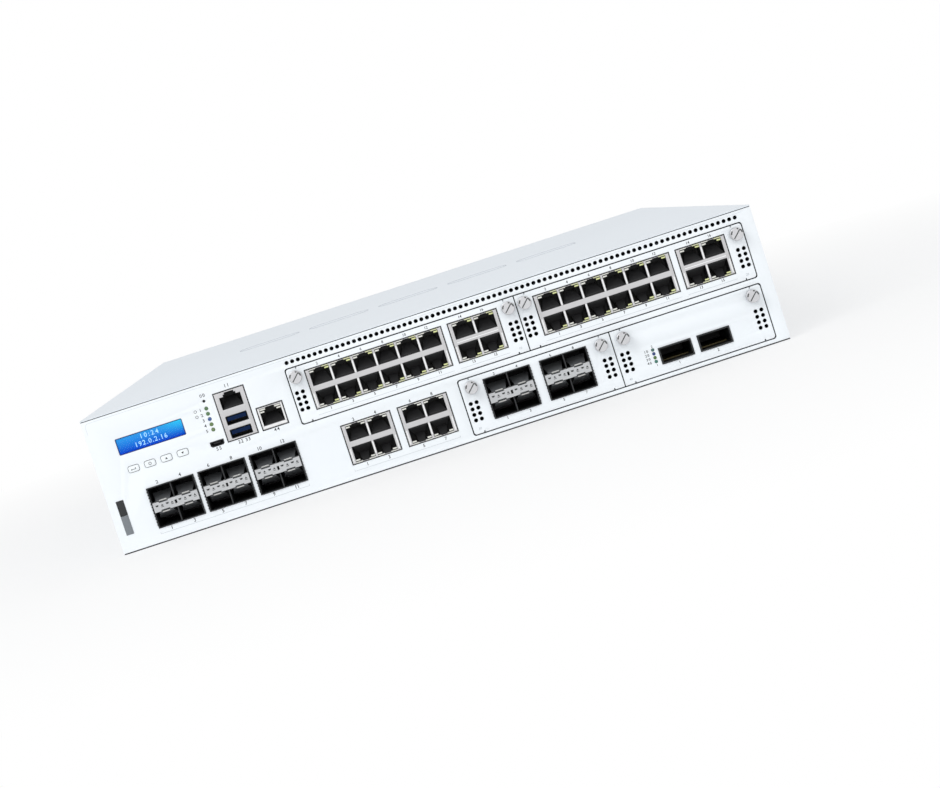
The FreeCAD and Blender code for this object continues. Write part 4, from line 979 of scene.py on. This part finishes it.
def usb_sockets():
    """Blue tongues with their contacts and the drawn shells of the two stacked sockets."""
    tongue, shells, pins = bmesh.new(), bmesh.new(), bmesh.new()
    x = (console[0] + console[1]) / 2
    mouths = []
    for rise in (1.3, 9.9):
        low = console[2] + rise
        high = low + 5.8
        box = (x - 6.95, x + 6.95, low, high)
        mouths.append(rounded(*box, 0.5, 3))
        sheet_metal(shells, rounded(*around(box, -0.1), 0.45, 3), front - 0.25, front + 11.5,
                    [rounded(*around(box, -0.4), 0.3, 3)], 0.04)
        top = high - 0.9
        bar(tongue, (x - 6.0, x + 6.0, top - 2.4, top), front + 0.02, front + 12.0)
        for index in range(4):
            pin = x + (index - 1.5) * 2.3
            bar(pins, (pin - 0.5, pin + 0.5, top - 2.48, top - 2.35), front + 1.0, front + 9.0)
    piece("usb_tongues", tongue, "chassis", "socket_plastic", "tongue_blue", soften=0.1)
    piece("usb_shells", shells, "chassis", "cage_steel")
    piece("usb_pins", pins, "chassis", "tinned_shield", "contact_gold")
    return mouths


# ---------------------------------------------------------------- optical cages


def spring_fingers(bm, start, end, count, place):
    """Small springs at even places between two ends. place makes a finger's box from its middle."""
    for index in range(count):
        for box in place(start + (end - start) * (index + 0.5) / count):
            bar(bm, box, front - sfp_proud - spring_proud, front - sfp_proud)


def sfp_dressing(name, body, lefts, bottom):
    """Spring flaps in a lighter steel as painted light, latch tabs in a bright steel as painted highlight,
    black slits beside them as painted shade, gasket fingers and lamp marks of two-by-two cage blocks.
    """
    flaps, tabs, slit_shades, marks, fingers = (bmesh.new() for _ in range(5))
    face = front - sfp_proud
    bar_bottom = bottom + sfp_skin + sfp_height
    bar_top = bar_bottom + sfp_bar_height
    top = bar_top + sfp_height + sfp_skin
    z = (bar_bottom + bar_top) / 2 + 0.7
    for left in lefts:
        right = left + sfp_block_width
        for middle in optical_middles(left):
            for way, start in ((1, bar_top), (-1, bar_bottom)):
                wedge(flaps, middle, (4.6, 0.8 - sfp_proud, start + way * 0.9),
                      (6.4, 13.0 - sfp_proud, start + way * 5.2), 0.35)
                # Black slits beside the latch tabs: painted shade.
                z0, z1 = sorted((start - way * 0.8, start - way * 0.05))
                prism(slit_shades, rounded(middle - 2.9, middle + 2.9, z0, z1, 0.25, 3), face - 0.04, face + 0.1)
                # Latch tabs in a bright steel: painted highlight.
                z0, z1 = sorted((start + way * 0.25, start + way * 0.95))
                sheet_metal(tabs, rounded(middle - 2.5, middle + 2.5, z0, z1, 0.3, 3),
                            face - 0.3, face + 0.1, soften=0.08)
            for offset, kind in mark_places:
                x = middle - sfp_width / 2 + offset
                shapes = [triangle(x, z - 0.1, 0.8, 1), rounded(x - 0.85, x + 0.85, z - 1.45, z - 1.1)]
                if kind == "block":
                    shapes = [[(x + a, z + b) for a, b in block_mark]]
                for shape in shapes:
                    prism(marks, shape, face - printed, face)
        spring_fingers(fingers, left + 0.9, right - 0.9, 15, lambda x: (
            (x - spring_half, x + spring_half, bottom - 0.15, bottom + sfp_skin + 0.1),
            (x - spring_half, x + spring_half, top - sfp_skin - 0.1, top + 0.15)))
        spring_fingers(fingers, bottom + 1.2, top - 1.2, 12, lambda level: (
            about(left, level, 0.35, spring_half), about(right, level, 0.35, spring_half)))
    for kind, bm, slot, look, soften in (
            ("flaps", flaps, "cage_steel", "flap_steel", 0),
            ("tabs", tabs, "cage_steel", "tab_steel", 0),
            ("slit_shades", slit_shades, "socket_plastic", "black_ink", 0),
            ("marks", marks, "socket_plastic", "mark_ink", 0),
            ("fingers", fingers, "cage_steel", None, 0.1)):
        piece(name + "_" + kind, bm, body, slot, look, soften=soften)


def qsfp_dressing():
    """The connector deep in each wide cage, its floor spring, and the cage's spring fingers."""
    body, spring, fingers = bmesh.new(), bmesh.new(), bmesh.new()
    low, high = limits("module_d_qsfp_cages")[4:]
    for left in module_qsfps:
        x0, x1 = left + 0.8, left + 20.4
        bar(body, (x0 + 0.6, x1 - 0.6, low + 1.6, high - 1.6), front + 44, front + 60)
        bar(spring, (x0 + 1.2, x1 - 1.2, low + 0.8, low + 1.35), front + 14, front + 27)
        bar(spring, (x0 + 1.2, x1 - 1.2, high - 1.5, high - 0.9), front + 20, front + 32)
        spring_fingers(fingers, left + 1.3, left + 19.9, 10, lambda x: (
            (x - spring_half, x + spring_half, low - 0.15, low + 0.7),
            (x - spring_half, x + spring_half, high - 0.7, high + 0.15)))
    piece("wide_connectors", body, "module_d", "socket_plastic")
    piece("wide_springs", spring, "module_d", "cage_steel", "contact_olive")
    piece("wide_fingers", fingers, "module_d", "cage_steel", soften=0.1)


# ---------------------------------------------------------------- display, keys, lights, screws


def display():
    """The pane over a lit screen with its figures, in a thin dark rim that is painted shade of the recess.
    """
    rim, glass, screen, signs = (bmesh.new() for _ in range(4))
    inner = rounded(*around(display_box, -0.1), 0.7)
    sheet_metal(rim, rounded(*around(display_box, -0.04), 0.75), front + 0.02, front + 0.08,
                [rounded(*around(display_box, -0.5), 0.4)], 0.01)
    sheet_metal(glass, inner, front + 0.1, front + 0.7, soften=0.1)
    sheet_metal(screen, inner, front + 0.75, front + 1.2, soften=0.05)
    x = (display_box[0] + display_box[1]) / 2 - 0.3
    figures(signs, "10:24", x, display_box[2] + 7.6, 4.1, 1.4, front + 0.74)
    figures(signs, "192.0.2.16", x, display_box[2] + 3.3, 4.2, 1.2, front + 0.74)
    looks["screen_glow"] = screen_glow("screen_glow", display_box)
    piece("display_rim_shade", rim, "chassis", "display_glass", "navy_ink")
    piece("display_pane", glass, "chassis", "display_glass", stands_for=["display_window"])
    piece("display_screen", screen, "chassis", "display_glass", "screen_glow")
    piece("display_figures", signs, "chassis", "display_glass", "screen_figures")


def keys():
    """White caps with crowned edges, a plain sign on each, and a dark ring in the gap round them as
    painted shade.
    """
    gaskets = bmesh.new()
    for name in key_names:
        node = "key_" + name
        x, z = centre(node)
        y0, y1 = limits(node)[2:4]
        cap, sign = bmesh.new(), bmesh.new()
        sheet_metal(gaskets, key_outline(name, 0.01), front + 0.8, front + 1.2,
                    [key_outline(name, 0.27)], 0.02)
        sheet_metal(cap, key_outline(name, 0.35), y0, front + 1.6, soften=0.3)
        bar(cap, about(x, z, 4.4, 2.9), front + 1.6, front + 2.4)
        turned(cap, x, z, [(1.2, front + 2.4), (1.2, y1)], 12)
        if name == "enter":
            for shape in (((-1.6, -0.2), (1.1, -0.2), (1.1, 0.7), (1.4, 0.7), (1.4, -0.5), (-1.6, -0.5)),
                          ((-1.9, -0.35), (-1.1, -0.9), (-1.1, 0.2))):
                prism(sign, [(x + a, z + b) for a, b in shape], y0 - printed, y0)
        elif name == "escape":
            ring_mark(sign, x, z, 0.65, y0, 20)
        else:
            prism(sign, triangle(x, z, 0.85, 1 if name == "up" else -1), y0 - printed, y0)
        sign_look = "black_ink" if name in ("up", "down") else "grey_ink"
        piece(node + "_cap", cap, node, "key_plastic", stands_for=[node])
        piece(node + "_sign", sign, node, "dark_plastic", sign_look)
    piece("key_gaskets", gaskets, "chassis", "socket_plastic", "gasket_foam")


def lens(name, body, look, x, z, profile, steps):
    """A small domed lamp lens that reaches back through the front."""
    bm = bmesh.new()
    turned(bm, x, z, [(radius, front + depth) for radius, depth in profile], steps)
    piece(name, bm, body, "light_pipe", look)


def status_lights():
    carrier = bmesh.new()
    bar(carrier, (light_x - 1.6, light_x + 1.6, light_rises[-1] - 1.6, light_rises[0] + 1.6),
        front + 1.5, front + 3.1)
    piece("light_carrier", carrier, "chassis", "light_pipe", stands_for=["status_light_pipes"])
    profile = ((0.35, -0.35), (0.75, -0.25), (1.05, -0.02), (1.1, 0.2), (1.1, 1.5))
    for index, look in enumerate(status_lamps):
        lens("status_light_%d" % (index + 1), "chassis", look, light_x, light_rises[index], profile, 24)


def module_lights():
    """Four small lamps beside the wide cages, with a number over and under the column."""
    signs = bmesh.new()
    profile = ((0.3, -0.3), (0.7, -0.2), (0.98, 0), (1.05, 0.2), (1.05, 1.5))
    for index, look in enumerate(module_lamps):
        rise = module_light_rises[index]
        lens(look, "module_d", look, module_light_x, rise, profile, 20)
        figures(signs, str(10 * (index + 1)), module_light_x - 4.4, rise, 2.3, 1.3)
    figures(signs, "2", module_light_x, module_light_rises[0] + 2.2, 1.9)
    figures(signs, "1", module_light_x, module_light_rises[-1] - 2.4, 1.9)
    piece("module_lamp_figures", signs, "module_d", "dark_plastic", "grey_ink")


def thumbscrew(name):
    """A captive screw with a straight-knurled side, a turned rim and a slanting slot, with dark arcs on
    the rim as painted shade and reflections and a dark strip in the slot as painted shade.
    """
    x, z = centre(name)
    y0, y1 = limits(name)[2:4]
    back = front - 0.1
    bm = bmesh.new()
    turned(bm, x, z, [(3.6, back), (3.6, back - 0.9), (4.15, back - 1.0), (4.15, y0 + 0.95),
                      (3.95, y0 + 0.85), (3.95, y0 + 0.3), (3.7, y0)], 72, ridge=0.1)
    turned(bm, x, z, [(1.4, back), (1.4, y1 - 0.5), (1.0, y1)], 16)
    screw = piece(name + "_knurled", bm, name, "screw_steel", stands_for=[name], smooth=25)
    cutter = bmesh.new()
    bar(cutter, about(0, 0, 5, 0.35), y0 - 1, y0 + 1.2)
    slant = Matrix.Rotation(math.radians(-45), 3, "Y")
    bmesh.ops.rotate(cutter, cent=(0, 0, 0), matrix=slant, verts=cutter.verts)
    bmesh.ops.translate(cutter, vec=(x, 0, z), verts=cutter.verts)
    bmesh.ops.scale(cutter, vec=(MM, MM, MM), verts=cutter.verts)
    tool = put("slot_tool", to_mesh("slot_tool", cutter))
    cut = screw.modifiers.new("slot", "BOOLEAN")
    cut.object = tool
    cut.solver = "EXACT"
    done = evaluated(screw)
    screw.modifiers.clear()
    screw.data = done
    bpy.data.objects.remove(tool)
    # Dark arcs on the rim as painted shade and reflections of the knurl, and a dark strip in the slot as
    # painted shade.
    marks = bmesh.new()
    for start, end in rim_reflection_arcs:
        loop = arc(x, z, 3.85, start, end, 6) + arc(x, z, 3.0, start, end, 6)[::-1]
        prism(marks, loop, y0 - 0.02, y0 + 0.3)
    along = Vector((math.cos(math.radians(45)), math.sin(math.radians(45))))
    across = Vector((-along.y, along.x)) * 0.3
    near, far = (Vector((x, z)) + along * 3.3 * side for side in (-1, 1))
    prism(marks, [tuple(near - across), tuple(far - across), tuple(far + across), tuple(near + across)],
          y0 + 0.35, y0 + 1.15)
    piece(name + "_shade_marks", marks, name, "screw_steel", "recess_grey")


# ---------------------------------------------------------------- printing


def port_numbers(bm, middles, high, low, size):
    """Even numbers over the ports and odd ones under them."""
    for index, x in enumerate(middles):
        figures(bm, str(2 * index + 2), x, high, size)
        figures(bm, str(2 * index + 1), x, low, size)


def bracket(bm, x0, x1, z, rise=0.0):
    """A thin printed line under a group of ports, with short ends."""
    boxes = [(x0, x1, z, z + line_width)]
    if rise:
        boxes += [(x0, x0 + line_width, z, z + rise), (x1 - line_width, x1, z, z + rise)]
    for box in boxes:
        bar(bm, box, front - printed, front)


def fixed_printing():
    """Numbers and lines printed on the front plate, and a faint grey line near its corner as the painted
    shade of a fine edge.
    """
    dark, pale, contour = (bmesh.new() for _ in range(3))
    port_numbers(dark, [x for left in fixed_opticals for x in optical_middles(left)],
                 37.5, 7.5, optical_figure)
    port_numbers(dark, [x for left, columns in fixed_coppers for x in jack_middles(left, columns)],
                 36.8, 7.4, copper_figure)
    bracket(pale, fixed_opticals[0], fixed_opticals[-1] + sfp_block_width, 5.7, 1.2)
    bracket(pale, fixed_coppers[0][0], fixed_coppers[-1][0] + block_width(2), 5.3, 1.2)
    for index, rise in enumerate(light_rises):
        figures(dark, str(index + 1), light_x - 3.9, rise, light_figure)
    for rise in light_rises[:2]:
        ring_mark(dark, light_x - 7.2, rise, 0.7, front)
    console_x, management_x, micro_x = ((box[0] + box[1]) / 2 for box in (console, management, micro))
    for text, x, z, spread in (("00", light_x, 79.8, 1.3), ("11", console_x, 81.3, 1.3),
                               ("22 33", console_x, 45.3, 1.2), ("44", management_x, 45.6, 1.3),
                               ("55", micro_x, 45.3, 1.3)):
        figures(dark, text, x, z, single_figure, spread)
    x0, z1, bend = left_side + 2.2, panel_top - 1.6, 2.4
    outer, inner = ([(right_side - 6.0, z1 - reach)]
                    + arc(x0 + bend, z1 - bend, bend - reach, 90, 180, 6)
                    + [(x0 + reach, 78.0)] for reach in (0.0, 0.25))
    prism(contour, outer + inner[::-1], front - printed, front)
    piece("panel_figures", dark, "chassis", "dark_plastic", "grey_ink")
    piece("panel_lines", pale, "chassis", "dark_plastic", "pale_ink")
    piece("panel_contour", contour, "chassis", "panel_paint", "faint_ink")


def module_printing(name, mark, middles, rises, spans=()):
    """Plain port numbers at the ports, lines under the groups and a small number at the end."""
    dark, pale = bmesh.new(), bmesh.new()
    x0, x1, _, _, z0, _ = limits(name + "_bezel")
    if len(rises) == 2:
        port_numbers(dark, middles, *rises, module_figure)
    else:
        for index, x in enumerate(middles):
            figures(dark, str(index + 1), x, rises[0], module_figure)
    for start, end in spans:
        bracket(pale, start, end, 45.9)
    figures(pale, mark, x0 + 4.4 if name[-1] in "cd" else x1 - 5.2, z0 + 3.0, 2.1)
    piece(name + "_figures", dark, name, "dark_plastic", "grey_ink")
    piece(name + "_lines", pale, name, "dark_plastic", "pale_ink")


def badge():
    """A bare plate in two tones at the lower left corner."""
    for name, look, z0, z1 in (("badge_upper", "black_ink", 23.5, 33.5),
                               ("badge_lower", "badge_grey", 11.3, 23.45)):
        bm = bmesh.new()
        sheet_metal(bm, rounded(from_left(5.3), from_left(10.2), z0, z1, 0.3, 3), front - 0.2, front,
                    soften=0.05)
        piece(name, bm, "chassis", "dark_plastic", look)


# ---------------------------------------------------------------- lid, sides and rear


def lid_beads():
    """Shallow pressed outlines across the lid: plain rounded shapes that stiffen the sheet, in a grey that
    is painted shade along the pressings.
    """
    bm = bmesh.new()
    wire, corner = 0.5, 12.0
    for index in range(5):
        box = about(-108 + index * 54, -8.0, 23.0, 16.0)
        sheet_metal(bm, rounded(*box, corner, 12), 0, 0.24,
                    [rounded(*around(box, -wire), corner - wire, 12)], 0.06,
                    Matrix.Translation((0, 0, lid_top + 0.08)))
    piece("lid_beads", bm, "chassis", "lid_paint", "bead_grey")


def fan_dressing(name, spinner, rotor, x, z, fan):
    """Guard rings over the duct and a rotor with curved blades."""
    duct, hub, blades, rings, wire, shaft = fan
    guard, spin = bmesh.new(), bmesh.new()
    for index in range(1, rings + 1):
        wire_ring(guard, x, rear - 0.9, z, duct * index / (rings + 0.4), wire)
    piece(name + "_guard", guard, name, "screw_steel", "guard_steel")
    y0, y1 = limits(rotor)[2:4]
    hub_front = y0 + 2 * shaft
    turned(spin, x, z, [(hub - 1.0, hub_front), (hub, hub_front + 0.6), (hub, y1 - 1.6),
                        (hub - 1.6, y1)], 48)
    turned(spin, x, z, [(shaft, y0), (shaft, hub_front)], 16)
    for index in range(blades):
        curved_blade(spin, x, z, hub - 0.6, duct - 1.4, (hub_front + y1) / 2, (y1 - hub_front) * 0.42,
                     index, blades)
    piece(name + "_spinner", spin, spinner, "rotor_plastic", stands_for=[rotor], smooth=40)


def curved_blade(bm, x, z, root, tip, middle, depth, index, blades):
    """A swept blade: it twists from root to tip and curves along its chord."""
    spans, chords = 7, 7
    sheets = []
    for side in (1, -1):
        rows = []
        for s in (i / (spans - 1) for i in range(spans)):
            radius = root + (tip - root) * s
            sweep = 2 * math.pi * index / blades + 0.28 * s
            width = 2 * math.pi / blades * (0.74 + 0.1 * s)
            pitch = 1.0 - 0.25 * s
            row = []
            for c in (j / (chords - 1) - 0.5 for j in range(chords)):
                turn = sweep + width * c
                camber = 0.16 * depth * (1 - 4 * c * c)
                thick = 0.55 * (1 - 3.2 * c * c) + 0.12
                y = middle - depth * pitch * 2 * c * 0.95 + camber + side * thick
                row.append(bm.verts.new((x + radius * math.cos(turn), y, z + radius * math.sin(turn))))
            rows.append(row)
        sheets.append(rows)
        for inner, outer in zip(rows, rows[1:]):
            for j in range(chords - 1):
                bm.faces.new((inner[j], inner[j + 1], outer[j + 1], outer[j]))
    borders = []
    for rows in sheets:
        borders.append(rows[0] + [row[-1] for row in rows[1:]] + rows[-1][-2::-1]
                       + [row[0] for row in rows[-2:0:-1]])
    band(bm, *borders)


def side_screws():
    """Flush screw heads with a round recess in the sides."""
    bm = bmesh.new()
    profile = [(1.2, 0.9), (1.2, 0.12), (2.9, 0.05), (3.15, 0.3), (3.15, 1.15), (1.7, 1.2), (1.7, 5.1)]
    for way in (-1, 1):
        for y in (-150.0, 180.0):
            turned(bm, 0, 0, profile, 30,
                   lambda a, b, h: Vector((way * (right_side - h), y + a, 80.0 + b)))
    piece("lid_screws", bm, "chassis", "screw_steel", stands_for=["cover_screws"])


# ---------------------------------------------------------------- building the part

front_plate()
windows = {}
for name, mark in (("module_a", "10"), ("module_b", "20")):
    node = name + "_jack_shields"
    blocks = jack_blocks(node, ((2, 4.0), (6, 0)))
    bottom = limits(node)[4]
    windows[name] = [window(jack_box(left, columns, bottom)) for left, columns in blocks]
    socket_group(name, name, node, [(left, columns, bottom) for left, columns in blocks])
    module_printing(name, mark, [x for block in blocks for x in jack_middles(*block)], (77.1, 47.9),
                    [(left, left + block_width(columns)) for left, columns in blocks])
optical, wide = limits("module_c_sfp_cages"), limits("module_d_qsfp_cages")
windows["module_c"] = [window((left, left + sfp_block_width, *optical[4:])) for left in module_opticals]
windows["module_d"] = [window((left, left + qsfp_block_width, *wide[4:])) for left in module_qsfps]
module_printing("module_c", "30", [x for left in module_opticals for x in optical_middles(left)],
                (36.8, 7.7))
module_printing("module_d", "40", [left + qsfp_block_width / 2 for left in module_qsfps], (7.4,))
for name, bay, side, vent_inset in (
        ("module_a", upper_bay, "left", 2.9), ("module_b", upper_bay, "right", 2.9),
        ("module_c", lower_bay, "left", 3.85), ("module_d", lower_bay, "right", 3.85)):
    bezel_plate(name, bay, side, vent_inset, windows[name])
    for hand in ("left", "right"):
        thumbscrew(name + "_thumbscrew_" + hand)

usb_mouths = usb_sockets()
micro_shell()
socket_group("fixed", "chassis", "fixed_jack_shields",
             [(left, columns, board_rise) for left, columns in fixed_coppers],
             [(console, console_rise, usb_mouths, stepped_mouth),
              (management, management_rise, [], single_mouth)], lime=False)
sfp_dressing("fixed_sfp", "chassis", fixed_opticals, board_rise)
sfp_dressing("module_c_sfp", "module_c", module_opticals, optical[4])
qsfp_dressing()
display()
keys()
status_lights()
module_lights()
painted_gap_shades()
fixed_printing()
badge()
lid_beads()
side_screws()

for name in ("fan_1", "fan_2", "fan_3", "fan_4"):
    fan_dressing(name, name + "_spinner", name + "_rotor", *centre(name + "_frame"), module_fan)
for name in ("psu_1", "psu_2"):
    case = name + "_case"
    fan_dressing(name, name + "_fan", name + "_fan_rotor", limits(case)[0] + supply_fan_inset,
                 centre(case)[1], supply_fan)

for width, names in (
        (0.2, ("rear_wall",)),
        (0.25, ("chassis_base",)),
        (0.3, ("top_cover", "psu_1_case", "psu_2_case", "power_switch_housing", "power_switch_rocker")),
        (0.35, ("fixed_sfp_bars", "module_c_sfp_bars", "fan_1_frame", "fan_2_frame", "fan_3_frame",
                "fan_4_frame")),
        (0.4, ("psu_1_latch", "psu_2_latch"))):
    for name in names:
        round_edges(frame["nodes"][name], width)


# ---------------------------------------------------------------- floor, light and camera


def show_white(tree, plain, white, rays, fade=None):
    """Swaps a shader for white in the rays named, as far as fade goes where it is given."""
    path = tree.nodes.new("ShaderNodeLightPath")
    seen = path.outputs[rays[0]]
    for ray in rays[1:]:
        seen = combined(tree, "MAXIMUM", seen, path.outputs[ray])
    if fade:
        seen = combined(tree, "MULTIPLY", seen, fade)
    mix = tree.nodes.new("ShaderNodeMixShader")
    for socket, source in zip(mix.inputs, (seen, plain.outputs[0], white.outputs[0])):
        tree.links.new(source, socket)
    return mix.outputs[0]


def floor():
    """A wide pale floor: it takes the shadow near the object and fades to white far away."""
    bm = bmesh.new()
    bmesh.ops.create_grid(bm, x_segments=1, y_segments=1, size=40)
    plane = put("floor", to_mesh("floor", bm))
    plane.location = (0, 0, -0.0002)
    look = Look("floor_white", (0.0, 0.0, 0.0), 0.9)
    set_inputs(look.shader, Base_Color=(0.93, 0.93, 0.93, 1), Specular_IOR_Level=0.1)
    far = look.node("VectorMath")
    far.operation = "LENGTH"
    fade = look.node("MapRange", From_Min=0.3, From_Max=0.85, To_Min=0.5)
    look.link(look.place, far.inputs[0])
    look.link(far.outputs["Value"], fade.inputs["Value"])
    seen = show_white(look.tree, look.shader, look.node("Emission", Strength=1.0),
                      ("Is Camera Ray", "Is Glossy Ray"), fade.outputs["Result"])
    look.link(seen, look.tree.nodes["Material Output"].inputs["Surface"])
    plane.data.materials.append(look.material)


def world_light(level):
    """Plain white surroundings at a level that lights the object, and white where they are seen."""
    world = bpy.data.worlds.new("surroundings")
    world.use_nodes = True
    bpy.context.scene.world = world
    tree = world.node_tree
    ground = set_inputs(tree.nodes["Background"], Color=(0.97, 0.985, 1.0, 1), Strength=level)
    white = set_inputs(tree.nodes.new("ShaderNodeBackground"), Color=(1, 1, 1, 1))
    seen = show_white(tree, ground, white, ("Is Camera Ray", "Is Glossy Ray", "Is Transmission Ray"))
    tree.links.new(seen, tree.nodes["World Output"].inputs["Surface"])


def lamp(name, place, target, size, watts):
    data = bpy.data.lights.new(name, "AREA")
    data.shape = "RECTANGLE"
    data.size, data.size_y = size
    data.energy = watts
    thing = put(name, data)
    thing.location = place
    aim = Vector(target) - Vector(place)
    thing.rotation_euler = aim.to_track_quat("-Z", "Y").to_euler()


def camera():
    """The camera, turned to the side, tilted down and rolled."""
    turn = Matrix.Identity(4)
    for angle, axis in ((-camera_yaw, "Z"), (90 - camera_pitch, "X"), (-camera_roll, "Z")):
        turn @= Matrix.Rotation(math.radians(angle), 4, axis)
    data = bpy.data.cameras.new("camera")
    data.lens = camera_lens
    data.sensor_fit = "HORIZONTAL"
    data.sensor_width = camera_sensor
    data.clip_end = 200
    thing = put("camera", data)
    thing.matrix_world = Matrix.Translation(camera_place) @ turn
    bpy.context.scene.camera = thing


floor()
world_light(0.72)
lamp("key", (-1.6, -2.4, 2.2), (0, -0.1, 0.04), (2.0, 2.0), 34)
lamp("fill", (1.8, 1.8, 2.0), (0, 0.1, 0.04), (2.0, 2.0), 6)
lamp("front_fill", (0.3, -3.2, 0.9), (0, -0.3, 0.04), (2.4, 1.2), 9)
camera()
bpy.context.scene.view_settings.view_transform = "Standard"
